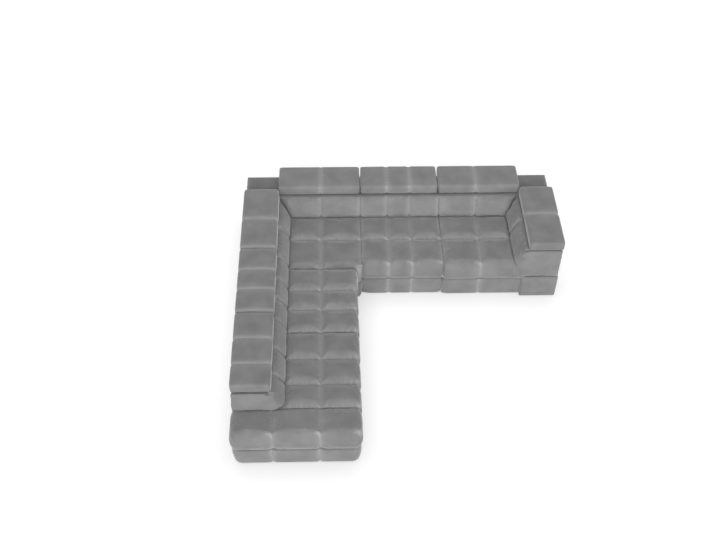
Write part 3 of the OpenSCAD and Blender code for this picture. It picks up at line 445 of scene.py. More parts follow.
def round_corner(s, d, edges, kinds, radii):
    """Rounds the plan's corners: a square patch of each corner is mapped to a quarter disc by
    p sqrt(1 - qq/2), q sqrt(1 - pp/2). Gives the moved places and the outward way on the rim."""
    way_s, way_d = np.zeros_like(s), np.zeros_like(d)
    (s0, s1), (d0, d1) = edges
    for s_edge, s_sign, s_kind in ((s0, -1, kinds[0]), (s1, 1, kinds[1])):
        for d_edge, d_sign, d_kind in ((d0, -1, kinds[2]), (d1, 1, kinds[3])):
            radius = radii.get((s_kind, d_kind), TIGHT_CORNER)
            p = np.clip(1 - s_sign * (s_edge - s) / radius, 0, 1)
            q = np.clip(1 - d_sign * (d_edge - d) / radius, 0, 1)
            p_new, q_new = p * np.sqrt(1 - q * q / 2), q * np.sqrt(1 - p * p / 2)
            s = s + s_sign * radius * np.where(q > 0, p_new - p, 0)
            d = d + d_sign * radius * np.where(p > 0, q_new - q, 0)
            bend = (np.maximum(p, q) > 0.9999) & (p > 0) & (q > 0)
            way_s = np.where(bend, s_sign * p_new, np.where(p > 0.9999, s_sign, way_s))
            way_d = np.where(bend, d_sign * q_new, np.where(q > 0.9999, d_sign, way_d))
    return s, d, way_s, way_d


def under_backs(s, d, backs, rear, kinds):
    """True where a seat lies under a back: beyond the marks of its left, right and rear sides."""
    covered = np.zeros(s.shape, bool)
    for mark in backs:
        covered |= (s <= mark) if kinds[0] == "under" else (s >= mark)
    for mark in rear:
        covered |= d <= mark
    return covered


def seat_sides(rim, drop, rolls, overs, side_gap, bulge, seed):
    """Rings from a seat's top edge down to its sewn seam: each edge rolls over a quarter ellipse of the
    roll's width and the drop, and the wall below bulges between the seams and comes back in to the seam."""
    s, d, z, way_s, way_d = rim
    soft = np.where(drop > 20, 1, TIGHT)
    pull = soft * np.clip(1 - side_gap / SIDE_SHOULDER, 0, 1) ** 2.2
    turns = np.linspace(0, np.pi / 2, 9)[1:]
    walls = np.concatenate([np.linspace(0, 0.85, 12)[1:], [0.9, 0.94, 0.97, 1]])
    rings = []
    for reach, fall, wall in [(np.sin(a), 1 - np.cos(a), 0) for a in turns] + [(1, 1, w) for w in walls]:
        low = (z - fall * drop) * (1 - wall) + SEAM_Z * wall
        tuck = TUCK * np.clip((wall - 0.88) / 0.12, 0, 1) ** 2
        belly = soft * (bulge * np.sin(np.pi * wall ** 0.8) - tuck)
        gathers = soft * PLEAT_H * 0.8 * pleats(low, side_gap, seed) * reach
        out = belly - SEAT_DRAW * pull * reach * (1 - 0.5 * wall ** 3) + gathers
        rings.append(np.stack([s + way_s * (rolls[0] * reach - overs[0] * wall ** 2 + out),
                               d + way_d * (rolls[1] * reach - overs[1] * wall ** 2 + out), low], -1))
    return rings


def nearest_behind(away):
    """The least distance in each row, of those no more than 2 mm past their line."""
    return np.where(away >= -2, away, FAR_AWAY).min(-1)


def gather_crossings(placed, lines, tones, seed):
    """Gathers the cover in patches behind each line across, and paints a highlight into the tone
    'pile_and_highlight' where two lines cross; lines are their places in mm, in x and in y."""
    x, y = placed[:, 0] / MM, placed[:, 1] / MM
    beside, behind = nearest_behind(lines[0] - x[:, None]), nearest_behind(y[:, None] - lines[1])
    patch = np.clip(0.45 + 0.8 * soft_noise(x, y, PATCH_SIZE, seed + 21), 0, 1)
    gather = patch * np.exp(-behind / 55) * (1 - np.exp(-behind / 6))
    placed[:, 2] += MM * GATHER_H * gather * soft_noise(x, y * 0.15, GATHER_W, seed + 5)
    # Painted highlight round each crossing, where the cover turns toward the light
    tones["pile_and_highlight"] = np.maximum(tones["pile_and_highlight"], 1.15 * np.exp(-(beside / 50) ** 2 - (behind / 40) ** 2))


def tufted_seat(name, run, s_seams, d_seams, kinds, corners=CORNERS, seed=1, bulge=5, forward=0):
    """A tufted cushion: its top is the channels' level plus the rise, less what the crowns along and
    across leave, joined by their fourth powers, with pleats beside the channels; its sides run down to the
    sewn seam."""
    s0, s1, d0, d1, _, _ = run_box(run, name)
    s0 -= forward
    width, fall_z, over = (np.array([ROLLS[kind][k] for kind in kinds]) for k in range(3))
    inner = ((s0 + width[0] - over[0], s1 - width[1] + over[1]),
             (d0 + width[2] - over[2], d1 - width[3] + over[3]))
    backs = [s0 + SEAT_UNDER] * (kinds[0] == "under") + [s1 - SEAT_UNDER] * (kinds[1] == "under")
    rear = [d0 + SEAT_UNDER] * (kinds[2] == "under")
    s_marks, d_marks = s_seams + backs, d_seams + rear
    s, d = np.meshgrid(stops(*inner[0], s_marks), stops(*inner[1], d_marks), indexing="ij")
    covered = under_backs(s, d, backs, rear, kinds)
    held = [[edge] * (kind in ("joint", "under")) for edge, kind in zip((s0, s1, d0), kinds)]
    gap_s = gap_to(s, s_marks + held[0] + held[1])
    gap_d = gap_to(d, d_marks + held[2])
    crowns = side_fullness(s, s0, s1, kinds[:2], s_marks), side_fullness(d, d0, d1, kinds[2:], d_marks)
    fall = ((1 - crowns[0]) ** 4 + (1 - crowns[1]) ** 4) ** 0.25
    lumps = 1 + LUMP_SHARE * soft_noise(s, d, LUMP_SIZE, seed + 7)
    front = ease((d - d1 + FRONT_FROM) / FRONT_OVER)
    long_pleats = pleats(d, gap_s, seed, PLEAT_REACH * (1 + 1.6 * front)) * (0.5 + 0.7 * front)
    top = np.where(covered, CHANNEL_Z, CHANNEL_Z + SEAT_RISE * (1 - fall) * lumps)
    top = top + PLEAT_H * long_pleats * ~covered
    top = top + PLEAT_H * pleats(s, gap_d, seed + 3) * 0.6 * ~covered

    # The rim of the top, once round, and the sides below it
    ns, nd = s.shape
    i, j = np.arange(ns), np.arange(nd)
    rim = (np.concatenate([i[:-1], np.full(nd - 1, ns - 1), i[:0:-1], np.zeros(nd - 1, int)]),
           np.concatenate([np.zeros(ns - 1, int), j[:-1], np.full(ns - 1, nd - 1), j[:0:-1]]))
    s_new, d_new, way_s, way_d = round_corner(s, d, inner, kinds, corners)
    way_s, way_d = way_s[rim], way_d[rim]
    roll_s, drop_s, over_s = (np.where(way_s < 0, v[0], v[1]) for v in (width, fall_z, over))
    roll_d, drop_d, over_d = (np.where(way_d < 0, v[2], v[3]) for v in (width, fall_z, over))
    side_gap = np.where(np.abs(way_s) > np.abs(way_d), gap_to(d[rim], d_seams), gap_to(s[rim], s_seams))
    drop = np.hypot(drop_s * way_s, drop_d * way_d)
    rings = seat_sides((s_new[rim], d_new[rim], top[rim], way_s, way_d), drop, (roll_s, roll_d),
                       (over_s, over_d), side_gap, bulge, seed + 11)
    levels = len(rings)
    centre = rings[-1].mean(0)
    rings += [centre + (rings[-1] - centre) * k for k in (0.9, 0.5)]

    # Faces of the top, between the top and its sides, of the sides, and of the underside
    n, base = len(side_gap), ns * nd
    a = i[:-1, None] * nd + j[:-1]
    first, k = rim[0] * nd + rim[1], np.arange(n)
    on = (k + 1) % n
    last = base + (len(rings) - 1) * n
    faces = [np.stack([a, a + 1, a + nd + 1, a + nd], -1).reshape(-1, 4),
             np.stack([first, first[on], base + on, base + k], -1),
             ring_faces(len(rings), n, base)[:, [0, 3, 2, 1]],
             np.stack([last + k, last + on, np.full(n, last + n)], -1)]
    skin = np.concatenate([np.stack([s_new, d_new, top], -1).reshape(-1, 3)] + rings + [centre[None]])

    below = 2 * n + 1
    gap = np.concatenate([np.minimum(gap_s, gap_d).ravel(), np.tile(side_gap, levels), np.full(below, 99)])
    hidden = np.concatenate([covered.ravel(), np.zeros(levels * n, bool), np.ones(below, bool)])
    tones = pad_tones(gap, 1)
    # Painted shade in the groove of the seam at the foot of the seat's wall
    tones["thread_and_shade"] = np.maximum(tones["thread_and_shade"], painted_seam_shade(skin[:, 2] - SEAM_Z))
    tones["hold"][hidden | (skin[:, 2] < SEAM_Z + 12)] = 1
    placed = from_run(run, skin * [1, -1, 1])
    ahead = d_seams + [d1]
    lines = (ahead, s_seams + [s0]) if run == "side" else (s_seams + [s1], ahead)
    lines = [from_run(run, [(c, -c, 0) for c in places])[:, axis] / MM for axis, places in enumerate(lines)]
    gather_crossings(placed, lines, tones, seed)
    upholster(closed_object(name + "_velvet", placed, faces, tones), "sofa", [name])


# Cloth simulation of the covers

HOLD_LEVELS = 5
FABRIC = {"quality": 4, "mass": 0.25, "tension_stiffness": 12, "compression_stiffness": 8,
          "shear_stiffness": 4, "bending_stiffness": 0.08, "use_pressure": True,
          "uniform_pressure_force": 1.4, "shrink_min": -0.025}


def plump(pieces, cap=6, frames=20):
    """Runs Blender's cloth on the covers, all together: each is held where its attribute 'hold' is 1, at
    its seams and hidden faces, the air inside presses it out, and it is cut a little larger than its place,
    so that it puckers beside the seams. No point moves further than the cap, in millimetres."""
    for piece in pieces:
        hold = np.zeros(len(piece.data.vertices), np.float32)
        piece.data.attributes["hold"].data.foreach_get("value", hold)
        group = piece.vertex_groups.new(name="held")
        steps = np.round(hold * HOLD_LEVELS).astype(int)
        for level in range(1, HOLD_LEVELS + 1):
            group.add(np.flatnonzero(steps == level).tolist(), level / HOLD_LEVELS, "REPLACE")
        cloth = piece.modifiers.new("cover", "CLOTH")
        for key, value in FABRIC.items():
            setattr(cloth.settings, key, value)
        cloth.settings.vertex_group_mass = group.name
        cloth.settings.effector_weights.gravity = 0
        cloth.collision_settings.use_collision = False
        cloth.point_cache.frame_start = 1
        cloth.point_cache.frame_end = frames
    for frame_number in range(1, frames + 1):
        bpy.context.scene.frame_set(frame_number)
    view = bpy.context.evaluated_depsgraph_get()
    for piece in pieces:
        count = len(piece.data.vertices)
        before, after = np.zeros(3 * count, np.float32), np.zeros(3 * count, np.float32)
        piece.data.vertices.foreach_get("co", before)
        piece.evaluated_get(view).data.vertices.foreach_get("co", after)
        move = (after - before).reshape(-1, 3)
        length = np.linalg.norm(move, axis=1, keepdims=True)
        move *= np.minimum(1, cap * MM / np.maximum(length, 1e-9))
        piece.data.vertices.foreach_set("co", (before.reshape(-1, 3) + move).ravel())
        piece.modifiers.clear()
        piece.vertex_groups.clear()
        piece.data.update()
    bpy.context.scene.frame_set(1)


# The way toward the light at the front right that the painted highlight faces; how squarely a point has to
# face it, from and over; the least part of a seam's opened pile and painted sheen that a point keeps; and
# how much painted sheen there is where the cover falls away to the rear
HIGHLIGHT_WAY = (0.55, -0.68, 0.48)
FACING_FROM = 0.73
FACING_OVER = 0.14
LEAST_SEAM_TONE = 0.65
REAR_SHEEN = 0.4
REAR_OVER = 0.35


def paint_highlight_and_sheen(pieces):
    """Paints highlight and sheen into the velvet's tone 'pile_and_highlight': beside a seam it grows with
    how squarely a point faces the light at the front right, a painted highlight, and it grows a little where
    the cover falls away to the rear, a painted sheen."""
    way = np.asarray(HIGHLIGHT_WAY) / np.linalg.norm(HIGHLIGHT_WAY)
    for piece in pieces:
        count = len(piece.data.vertices)
        normals, pile_and_highlight = np.zeros(3 * count, np.float32), np.zeros(count, np.float32)
        piece.data.vertex_normals.foreach_get("vector", normals)
        piece.data.attributes["pile_and_highlight"].data.foreach_get("value", pile_and_highlight)
        normals = normals.reshape(-1, 3)
        facing = np.clip((normals @ way - FACING_FROM) / FACING_OVER, 0, 1)
        away = REAR_SHEEN * np.clip(normals[:, 1] / REAR_OVER, 0, 1)
        pile_and_highlight = np.maximum(np.minimum(pile_and_highlight, 1) * np.maximum(LEAST_SEAM_TONE, facing), away)
        piece.data.attributes["pile_and_highlight"].data.foreach_set("value", pile_and_highlight.astype(np.float32))


# Materials

def linear(hex_colour):
    """An sRGB hex colour as linear red, green, blue and alpha."""
    parts = [int(hex_colour[k:k + 2], 16) / 255 for k in (1, 3, 5)]
    return [p / 12.92 if p <= 0.04045 else ((p + 0.055) / 1.055) ** 2.4 for p in parts] + [1]


def add_node(tree, kind, settings=None, links=None):
    """Adds a shader node, sets its unlinked sockets by name or number, its properties, or the (place,
    colour) stops of its ramp, and links its inputs."""
    made = tree.nodes.new("ShaderNode" + kind)
    for key, value in (settings or {}).items():
        if key == "stops":
            ends = made.color_ramp.elements
            for k, (place, colour) in enumerate(value):
                stop = ends[k] if k < len(ends) else ends.new(place)
                stop.position, stop.color = place, linear(colour)
        elif isinstance(key, int) or key in made.inputs:
            made.inputs[key].default_value = value
        else:
            setattr(made, key, value)
    for key, source in (links or {}).items():
        tree.links.new(source, made.inputs[key])
    return made


def new_material(name):
    """An empty node material, its tree, and the Object coordinates that its patterns are placed by."""
    material = bpy.data.materials.new(name)
    material.use_nodes = True
    tree = material.node_tree
    tree.nodes.clear()
    return material, tree, {"Vector": add_node(tree, "TexCoord").outputs["Object"]}


def finish(tree, settings, colour, height, depth, strength):
    """Ends a material: its pattern as a bump of that depth in metres, its colour, and the output."""
    bump = add_node(tree, "Bump", {"Strength": strength, "Distance": depth}, {"Height": height})
    shader = add_node(tree, "BsdfPrincipled", settings,
                      {"Base Color": colour, "Normal": bump.outputs["Normal"]})
    add_node(tree, "OutputMaterial", links={"Surface": shader.outputs["BSDF"]})


def velvet():
    """Grey cut velvet, polyester pile on a woven back: matt and soft, paler where the pile opens over a
    bend and with painted highlight and sheen, darker in thread lines and with painted shade in seam grooves,
    brushed patches a hand wide, and a fine nap. The real nap of 0.4 mm is drawn at 5 mm, to show."""
    material, tree, place = new_material("grey_cut_velvet")
    patches = add_node(tree, "TexNoise", {"Scale": 1 / 0.14, "Detail": 2.0, "Roughness": 0.5}, place)
    nap = add_node(tree, "TexNoise", {"Scale": 1 / 0.005, "Detail": 1.0}, place)
    brushed = add_node(tree, "ValToRGB", {"stops": [(0.32, "#7f7e7f"), (0.68, "#8b8a8b")]},
                       {"Fac": patches.outputs["Fac"]})
    pile_and_highlight, thread_and_shade = (add_node(tree, "Attribute", {"attribute_name": tone}).outputs["Fac"]
                    for tone in ("pile_and_highlight", "thread_and_shade"))
    # Paler by 'pile_and_highlight': pile opened at seams, with painted highlight and sheen
    opened_and_highlighted = add_node(tree, "MixRGB", {"Color2": linear("#b0afb0")},
                      {"Fac": pile_and_highlight, "Color1": brushed.outputs["Color"]})
    # Darker by 'thread_and_shade': thread lines, with painted shade in seam grooves
    thread_and_shade_colour = add_node(tree, "MixRGB", {"Color2": linear("#646364")},
                    {"Fac": thread_and_shade, "Color1": opened_and_highlighted.outputs["Color"]})
    finish(tree, {"Roughness": 0.92, "IOR": 1.5, "Specular IOR Level": 0.2, "Sheen Weight": 0.7,
                  "Sheen Roughness": 0.4}, thread_and_shade_colour.outputs["Color"], nap.outputs["Fac"], 0.0008, 0.25)
    return material


def drawn_steel(name, pale, dark, grain, roughness):
    """Drawn or rolled steel, zinc-plated or oiled: a fine grain from its drawing, and duller clouds."""
    material, tree, place = new_material(name)
    drawn = add_node(tree, "Mapping", {"Scale": grain}, place).outputs["Vector"]
    lines = add_node(tree, "TexNoise", {"Scale": 1.0, "Detail": 3.0}, {"Vector": drawn})
    clouds = add_node(tree, "TexNoise", {"Scale": 1 / 0.03, "Detail": 2.0}, place)
    tint = add_node(tree, "ValToRGB", {"stops": [(0.35, dark), (0.65, pale)]},
                    {"Fac": clouds.outputs["Fac"]})
    finish(tree, {"Metallic": 1.0, "Roughness": roughness}, tint.outputs["Color"], lines.outputs["Fac"],
           0.0002, 0.2)
    return material


def planed_pine():
    """Planed pine rails and boards: pale yellow-brown, growth rings 6 mm apart drawn out along the grain."""
    material, tree, place = new_material("planed_pine")
    along = add_node(tree, "Mapping", {"Scale": (1 / 0.09, 1 / 0.09, 1 / 0.006)}, place)
    rings = add_node(tree, "TexNoise", {"Scale": 1.0, "Detail": 3.0, "Roughness": 0.6},
                     {"Vector": along.outputs["Vector"]}).outputs["Fac"]
    colours = [(0.3, "#c39d67"), (0.55, "#d6b985"), (0.75, "#dfc697")]
    tint = add_node(tree, "ValToRGB", {"stops": colours}, {"Fac": rings})
    finish(tree, {"Roughness": 0.62, "IOR": 1.5}, tint.outputs["Color"], rings, 0.0004, 0.25)
    return material


def moulded_plastic():
    """Black moulded polypropylene feet: half matt with a spark-eroded grain of 1 mm."""
    material, tree, place = new_material("moulded_polypropylene")
    grain = add_node(tree, "TexNoise", {"Scale": 1 / 0.001, "Detail": 2.0}, place).outputs["Fac"]
    tint = add_node(tree, "ValToRGB", {"stops": [(0.3, "#262626"), (0.7, "#303030")]}, {"Fac": grain})
    finish(tree, {"Roughness": 0.5, "IOR": 1.49}, tint.outputs["Color"], grain, 0.0002, 0.3)
    return material


def spunbonded_felt():
    """Dark spunbonded felt under the seats: matt, with a bonding pattern of 3 mm dots and fibre clouds."""
    material, tree, place = new_material("spunbonded_felt")
    dots = add_node(tree, "TexVoronoi", {"Scale": 1 / 0.003}, place).outputs["Distance"]
    clouds = add_node(tree, "TexNoise", {"Scale": 1 / 0.04, "Detail": 4.0}, place)
    tint = add_node(tree, "ValToRGB", {"stops": [(0.3, "#323235"), (0.7, "#424246")]},
                    {"Fac": clouds.outputs["Fac"]})
    finish(tree, {"Roughness": 0.95, "IOR": 1.5}, tint.outputs["Color"], dots, 0.0004, 0.4)
    return material


MATERIALS = {
    "velvet": velvet(),
    "timber": planed_pine(),
    "bracket": drawn_steel("zinc_plated_bar", "#a9abad", "#96989b", (1 / 0.02, 1 / 0.02, 1 / 0.001), 0.36),
    "spring": drawn_steel("oiled_spring_wire", "#5f6164", "#4c4e52", (1 / 0.002,) * 3, 0.42),
    "plastic": moulded_plastic(),
    "felt": spunbonded_felt(),
}


def finish_of(node):
    """The material of a CAD node that stays, by what its name ends in."""
    if node.endswith("headrest_frame") or node in ("ratchet_brackets", "hinge_pins", "module_connectors"):
        return MATERIALS["bracket"]
    if node.endswith("_frame"):
        return MATERIALS["timber"]
    return {"seat_springs": MATERIALS["spring"], "feet": MATERIALS["plastic"],
            "dust_covers": MATERIALS["felt"]}.get(node, MATERIALS["velvet"])


for node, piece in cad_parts.items():
    if not piece.material_slots:
        piece.data.materials.append(finish_of(node))
    for place in piece.material_slots:
        place.material = finish_of(node)


# Seats

tufted_seat("corner_seat_cushion", "rear", [SIDE_CHANNEL], [REAR_CHANNEL],
            ("under", "joint", "under", "joint"), {("joint", "joint"): 55}, seed=3)
for module, run, channels, depth_channel, kinds in (
        ("middle", "rear", MIDDLE_CHANNELS, REAR_CHANNEL, ("joint", "joint", "under", "front")),
        ("right", "rear", (RIGHT_CHANNEL,), REAR_CHANNEL, ("joint", "under", "under", "front")),
        ("left", "side", LEFT_CHANNELS, SIDE_CHANNEL, ("joint", "joint", "under", "side")),
        ("end", "side", END_CHANNELS, SIDE_CHANNEL, ("joint", "joint", "under", "side"))):
    from_s = run_box(run, f"{module}_seat_cushion")[0]
    tufted_seat(f"{module}_seat_cushion", run, [from_s + c for c in channels], [depth_channel], kinds,
                seed=10 + len(module))
tufted_seat("end_row_cushion", "side", [], [END_ROW_CHANNEL, SIDE_CHANNEL],
            ("front", "joint", "side", "side"), {("front", "side"): 20, ("joint", "side"): 8}, 31, 8,
            ROW_FORWARD)


# Backs

CUSHION_TOP = BACK_Z + 7
BACK_FACE = soft_outline([
    (BACK_CORE_D + 0.5, CHANNEL_Z + 1, 5, 0), (BACK_CORE_D + 0.5, CUSHION_TOP, 8, 0),
    (334, CUSHION_TOP + 1, 24, 0.5), (358, 586, 44, 1), (397, 524, 60, 1), (431, 452, 42, 1),
    (412, CHANNEL_Z + 1, 20, 1)], 64)


def back_pad(node, run, channels, skew=(0, 0), seed=1):
    """A back cushion between its ends, with the convex leaning face."""
    a, b = run_box(run, node)[:2]
    tucked = [end for end, mitred in ((a, skew[0]), (b, skew[1])) if not mitred]
    a -= skew[0] * BACK_CORE_D
    b -= skew[1] * BACK_CORE_D
    straight_pad(node, run, a, b, BACK_FACE, channels, BACK_DRAW, "sofa", 8, skew, seed, tucked=tucked)


# Each module starts 1 mm before its rear cover does, but for the end, whose cover fills it
START = {module: run_box(run, f"{module}_back_cover")[0] - before for module, run, before in
         (("middle", "rear", 1), ("right", "rear", 1), ("left", "side", 1), ("end", "side", 0))}
middle_seams = [START["middle"] + c for c in MIDDLE_CHANNELS]
right_seams = [START["right"] + RIGHT_CHANNEL]
left_seams = [START["left"] + c for c in LEFT_CHANNELS]
end_seams = [START["end"] + c for c in END_CHANNELS]
back_pad("corner_rear_back_cushion", "rear", [SIDE_CHANNEL], (1, 0), 41)
back_pad("middle_back_cushion", "rear", middle_seams, seed=42)
back_pad("right_back_cushion", "rear", right_seams, (0, -1), 43)
back_pad("corner_side_back_cushion", "side", [FAR_D - REAR_CHANNEL], (0, -1), 44)
back_pad("left_back_cushion", "side", left_seams, seed=45)

# The end module's back pad comes round its open end
BELLY = 130
END_BELLY = 42
END_FACE = soft_outline([
    (1, CHANNEL_Z + 1, 5, 0), (1, 592, 3, 0), (-4, 592, 2, 0), (-5, 608, 3, 0), (2, 608, 14, 0.6),
    (17, 572, 30, 1), (32, 520, 40, 1), (END_BELLY + 2, 460, 36, 1), (30, CHANNEL_Z + 1, 16, 1)], 64)
FACE_AT_CORE = dict(BACK_FACE, out=BACK_FACE["out"] - BACK_CORE_D)
front = -BACK_CORE_D - BELLY
end_a = START["end"] + COVER_T
end_b = run_box("side", "end_back_cushion")[1]
swept_pad(["end_back_cushion"], "side", [(end_a, -1), (end_a, -BACK_CORE_D), (end_b, -BACK_CORE_D)],
          [(end_a - END_BELLY, -1), (end_a - END_BELLY, front), (end_b, front)], [(10, 100)],
          (END_FACE, FACE_AT_CORE), (END_BELLY, BELLY), [s - end_b for s in end_seams], BACK_DRAW,
          seed=46)

# The arm's cushion comes round its front in the same way, and reaches lower there
ARM_FRONT = soft_outline([
    (1, 277, 5, 0), (1, BACK_Z - 1, 6, 0), (14, BACK_Z, 14, 0.4), (BAND_T + 1, BACK_Z - 16, 20, 1),
    (BAND_T + 2, 440, 90, 1), (BAND_T, 292, 20, 1), (20, 277, 10, 0.6)], 64)
arm_front = run_box("arm", "arm_front_band")[1] - BAND_T
mitre = 2 + BACK_CORE_D
swept_pad(["arm_cushion", "arm_front_band"], "arm",
          [(mitre, -BACK_CORE_D), (arm_front, -BACK_CORE_D), (arm_front, -3)],
          [(mitre + BELLY, front), (arm_front + BAND_T, front), (arm_front + BAND_T, -3)],
          [(12, 85)], (FACE_AT_CORE, ARM_FRONT), (BELLY, BAND_T), [ARM_CHANNEL - mitre - BELLY], BACK_DRAW,
          seed=47)


# Padded covers of the rear faces and tops

COVER = soft_outline([
    (0, BAND_LOW, 4, 0), (0, BACK_Z, 42, 0), (BACK_CORE_D - 0.5, BACK_Z, 4, 0),
    (BACK_CORE_D - 0.5, BACK_Z - COVER_T, 4, 0), (COVER_T, BACK_Z - COVER_T, 3, 0),
    (COVER_T, BAND_LOW, 4, 0)], 190)
COVER_BACK = 20


def end_cover_top(x, out, z):
    """Moves the end cover's top back from its open end, to leave room for the end pad's soft top; near
    the seat and near the pad's inner bend it stays where it is."""
    room = ease((z - CHANNEL_Z) / 20) * (1 - ease((out - 255) / 30))
    return x + COVER_BACK * np.clip(1 - (x - x.min()) / 60, 0, 1) * room, out, z


for node, run, skew in (("corner_rear_back_cover", "rear", (1, 0)), ("middle_back_cover", "rear", (0, 0)),
                        ("right_back_cover", "rear", (0, -1)), ("corner_side_back_cover", "side", (0, -1)),
                        ("left_back_cover", "side", (0, 0)), ("end_back_cover", "side", (0, 0)),
                        ("arm_cover", "arm", (1, 0))):
    a, b = run_box(run, node)[:2]
    straight_pad(node, run, a, b, COVER, [], 0, "sofa", 1 if any(skew) else 4, skew, 51,
                 bend=end_cover_top if node.startswith("end") else None)


# Padded bands

def band_outline(high=SEAM_Z - 1, belly=4, foot=14):
    """Section of a band from its frame outward: nearly flush at the seam above, rolled in underneath."""
    low = BAND_LOW
    return soft_outline([
        (0.5, low, 3, 0), (0.5, high, 3, 0), (24, high, 5, 0.5), (BAND_T + belly / 2, high - 7, 8, 1),
        (BAND_T + belly, (low + high) / 2 + 20, 60, 1), (BAND_T, low + 20, 22, 1), (foot, low, 9, 0.5)], 56)


def band(node, run, inner, outer, radii, outline, seams, radius=5, feet=(0, 0), seed=1,
         draw=BAND_DRAW):
    """A band of one outline between the frame's face and its own outer face."""
    swept_pad([node], run, inner, outer, radii, (outline, outline), (BAND_T, BAND_T), seams, draw,
              radius, feet, seed)


BAND = band_outline()
for module, run, seams, feet in (
        ("middle", "rear", middle_seams, (85, 60)), ("right", "rear", right_seams, (60, 0)),
        ("left", "side", left_seams, (0, 40)), ("end", "side", end_seams, (0, 0))):
    a, b, _, depth = run_box(run, f"{module}_base_band")[:4]
    band(f"{module}_base_band", run, [(a, BAND_T - depth), (b, BAND_T - depth)], [(a, -depth), (b, -depth)],
         [], BAND, [s - a for s in seams], feet=feet, seed=61 + len(module))

near, far = run_box("rear", "corner_base_band")[:2]
band("corner_base_band", "rear", [(near, BAND_T - far), (far - BAND_T, BAND_T - far), (far - BAND_T, -near)],
     [(near, -far), (far, -far), (far, -near)], [(34, 34 + BAND_T)], band_outline(foot=8), [], seed=65)

# The row's band turns both corners; a rounded corner is shorter than a sharp one by what its bend saves
_, row_b, _, depth = run_box("side", "end_row_band")[:4]
saved = (2 - np.pi / 2) * ROW_R
band("end_row_band", "side",
     [(row_b, -BAND_T), (BAND_T, -BAND_T), (BAND_T, BAND_T - depth), (row_b, BAND_T - depth)],
     [(row_b, 0), (-ROW_FORWARD, 0), (-ROW_FORWARD, -depth), (row_b, -depth)], [(ROW_R - BAND_T, ROW_R)] * 2,
     band_outline(belly=13, foot=10), [row_b - saved + c for c in (END_ROW_CHANNEL, SIDE_CHANNEL)], seed=66)

_, arm_b, _, depth = run_box("arm", "arm_base_band")[:4]
arm_face = arm_b - BAND_T
band("arm_base_band", "arm", [(arm_face - 14, -depth), (arm_face, -depth), (arm_face, -1)],
     [(arm_face - 14, -depth - 1.8), (arm_b, -depth - 1.8), (arm_b, -1)], [(1, 14)],
     band_outline(275, belly=2), [], radius=1.5, seed=67, draw=0)


# Headrests

# How much further a headrest's near and far end reach, and which near ends roll down
HEADREST_MORE = {"middle": (0, 8), "right": (8, 0), "corner_side": (14, 6), "left": (14, 14), "end": (0, 14)}
ROLLED_HEADRESTS = ("corner_side", "left")
HEADREST_ROLL = 42


def headrest(name, run, channels, seed):
    """A headrest's pad: a soft-cornered box, drawn in a little at its channels."""
    node = f"{name}_headrest_pad"
    a, b, rear, depth, low, high = run_box(run, node)
    pivot = depth - HEADREST_T / 2, low + HEADREST_T / 2
    hinges = a + HINGE_INSET, b - HINGE_INSET
    rear, depth, low, high = rear - HEADREST_GROW, depth + HEADREST_GROW, low - 2, high + HEADREST_GROW
    outline = soft_outline([
        (rear, low, 18, 1), (rear, high - 7, 22, 1), ((rear + depth) / 2 - 20, high + 3, 150, 1),
        (depth, high - 5, 34, 1), (depth, low, 22, 1)], 96)
    more = HEADREST_MORE.get(name, (0, 0))
    rolled = name in ROLLED_HEADRESTS
    a, b = a - HEADREST_REACH - more[0], b + HEADREST_REACH + more[1]
    straight_pad(node, run, a, b, outline, channels, HEADREST_DRAW, f"{name}_headrest", 12, seed=seed,
                 near_radius=HEADREST_ROLL if rolled else None, hinges=hinges,
                 bend=lambda *at: bracket_slits(*at, hinges, pivot), tucked=[a] if rolled else [])


for seed, (name, run, channels) in enumerate((
        ("corner_rear", "rear", [SIDE_CHANNEL]), ("middle", "rear", middle_seams),
        ("right", "rear", right_seams), ("corner_side", "side", [FAR_D - REAR_CHANNEL]),
        ("left", "side", left_seams), ("end", "side", end_seams), ("arm", "arm", [ARM_CHANNEL])), 71):
    headrest(name, run, channels, seed)

plump([p for p in COVERS if "cushion" in p.name])
# Painted highlight and sheen in the covers' velvet tone
paint_highlight_and_sheen(COVERS)


# Stage, light and camera

# The part of the floor's whiteness that it gives by itself, and how much of that is taken away close to the
# sofa as painted contact shade
FLOOR_GLOW = 0.84
FLOOR_CONTACT = 0.42
FLOOR_HALF = 30
AMBIENT = 0.25
WHITE = (1, 1, 1, 1)

# The photograph's camera: width and focal length in pixels, place in metres, heading, tilt and roll
PHOTO_W = 716
PHOTO_FOCAL = 1003.63
CAMERA_PLACE = (-0.632, -6.051, 7.137)
CAMERA_TURN = (1.99, 46.41, 0.81)
SENSOR_W = 36


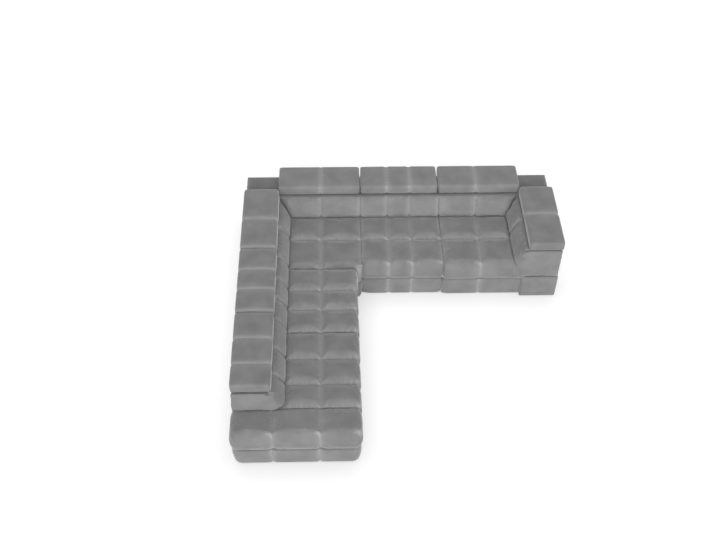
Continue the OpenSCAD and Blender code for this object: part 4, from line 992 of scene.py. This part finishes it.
def stage_floor():
    """A pale floor that keeps the shadow: to the camera mostly plain white, with painted contact shade where
    that glow is dimmed by occlusion close to the sofa, and in part lit."""
    mesh = bpy.data.meshes.new("floor")
    h = FLOOR_HALF
    mesh.from_pydata([(-h, -h, 0), (h, -h, 0), (h, h, 0), (-h, h, 0)], [], [(0, 1, 2, 3)])
    floor = bpy.data.objects.new("floor", mesh)
    bpy.context.scene.collection.objects.link(floor)
    material, tree, _ = new_material("pale_floor")
    seen = add_node(tree, "LightPath").outputs["Is Camera Ray"]
    shade = add_node(tree, "MixRGB", {"Color1": linear("#cccccc"), "Color2": linear("#949494")},
                     {"Fac": seen})
    lit = add_node(tree, "BsdfDiffuse", links={"Color": shade.outputs["Color"]})
    # Painted contact shade: the floor's own glow dims where the sofa occludes it
    near = add_node(tree, "AmbientOcclusion", {"samples": 8, "Distance": 0.28})
    glow = add_node(tree, "Math", {"operation": "MULTIPLY_ADD", 1: FLOOR_GLOW * FLOOR_CONTACT,
                                             2: FLOOR_GLOW * (1 - FLOOR_CONTACT)}, {0: near.outputs["AO"]})
    part = add_node(tree, "Math", {"operation": "MULTIPLY"}, {0: seen, 1: glow.outputs[0]})
    plain = add_node(tree, "Emission", {"Color": WHITE}, {"Strength": part.outputs[0]})
    both = add_node(tree, "AddShader", links={0: lit.outputs["BSDF"], 1: plain.outputs["Emission"]})
    add_node(tree, "OutputMaterial", links={"Surface": both.outputs["Shader"]})
    mesh.materials.append(material)


def studio_world():
    """Soft even light from all round, which shows as plain white to the camera and in gloss."""
    world = bpy.data.worlds.new("studio")
    bpy.context.scene.world = world
    world.use_nodes = True
    tree = world.node_tree
    tree.nodes.clear()
    path = add_node(tree, "LightPath").outputs
    seen = add_node(tree, "Math", {"operation": "MAXIMUM"},
                    {0: path["Is Camera Ray"], 1: path["Is Glossy Ray"]})
    dim, white = (add_node(tree, "Background", {"Color": WHITE, "Strength": strength}).outputs[0]
                  for strength in (AMBIENT, 1.0))
    mix = add_node(tree, "MixShader", links={0: seen.outputs[0], 1: dim, 2: white})
    add_node(tree, "OutputWorld", links={"Surface": mix.outputs["Shader"]})


def sun(name, towards, strength, softness):
    """A distant lamp that shines from a direction of the sky, over a soft angle in degrees."""
    lamp = bpy.data.lights.new(name, "SUN")
    lamp.energy = strength
    lamp.angle = math.radians(softness)
    holder = bpy.data.objects.new(name, lamp)
    bpy.context.scene.collection.objects.link(holder)
    x, y, z = towards
    holder.rotation_euler = (math.atan2(math.hypot(x, y), z), 0, math.atan2(x, -y))


def photo_camera():
    """The photograph's camera, from its place, turn and focal length."""
    yaw, tilt, roll = (math.radians(v) for v in CAMERA_TURN)
    forward = np.array([math.sin(yaw) * math.cos(tilt), math.cos(yaw) * math.cos(tilt), -math.sin(tilt)])
    level = np.array([math.cos(yaw), -math.sin(yaw), 0])
    upright = np.cross(level, forward)
    lens = bpy.data.cameras.new("photo_camera")
    lens.sensor_width = SENSOR_W
    lens.lens = SENSOR_W * PHOTO_FOCAL / PHOTO_W
    lens.clip_end = 100
    camera = bpy.data.objects.new("photo_camera", lens)
    bpy.context.scene.collection.objects.link(camera)
    matrix = np.eye(4)
    matrix[:3, 0] = math.cos(roll) * level + math.sin(roll) * upright
    matrix[:3, 1] = -math.sin(roll) * level + math.cos(roll) * upright
    matrix[:3, 2] = -forward
    matrix[:3, 3] = CAMERA_PLACE
    camera.matrix_world = Matrix(matrix.tolist())
    bpy.context.scene.camera = camera


stage_floor()
studio_world()
sun("front_window", (0, -0.82, 0.57), 1.5, 40)
sun("front_low", (0, -0.985, 0.174), 1.4, 40)
sun("left_low", (-0.985, 0, 0.174), 0.55, 40)
sun("right_low", (0.985, 0, 0.174), 0.44, 40)
sun("rear_window", (0, 0.8, 0.6), 0.45, 40)
sun("ceiling", (0, 0, 1), 0.14, 90)
photo_camera()
bpy.context.scene.view_settings.view_transform = "Standard"
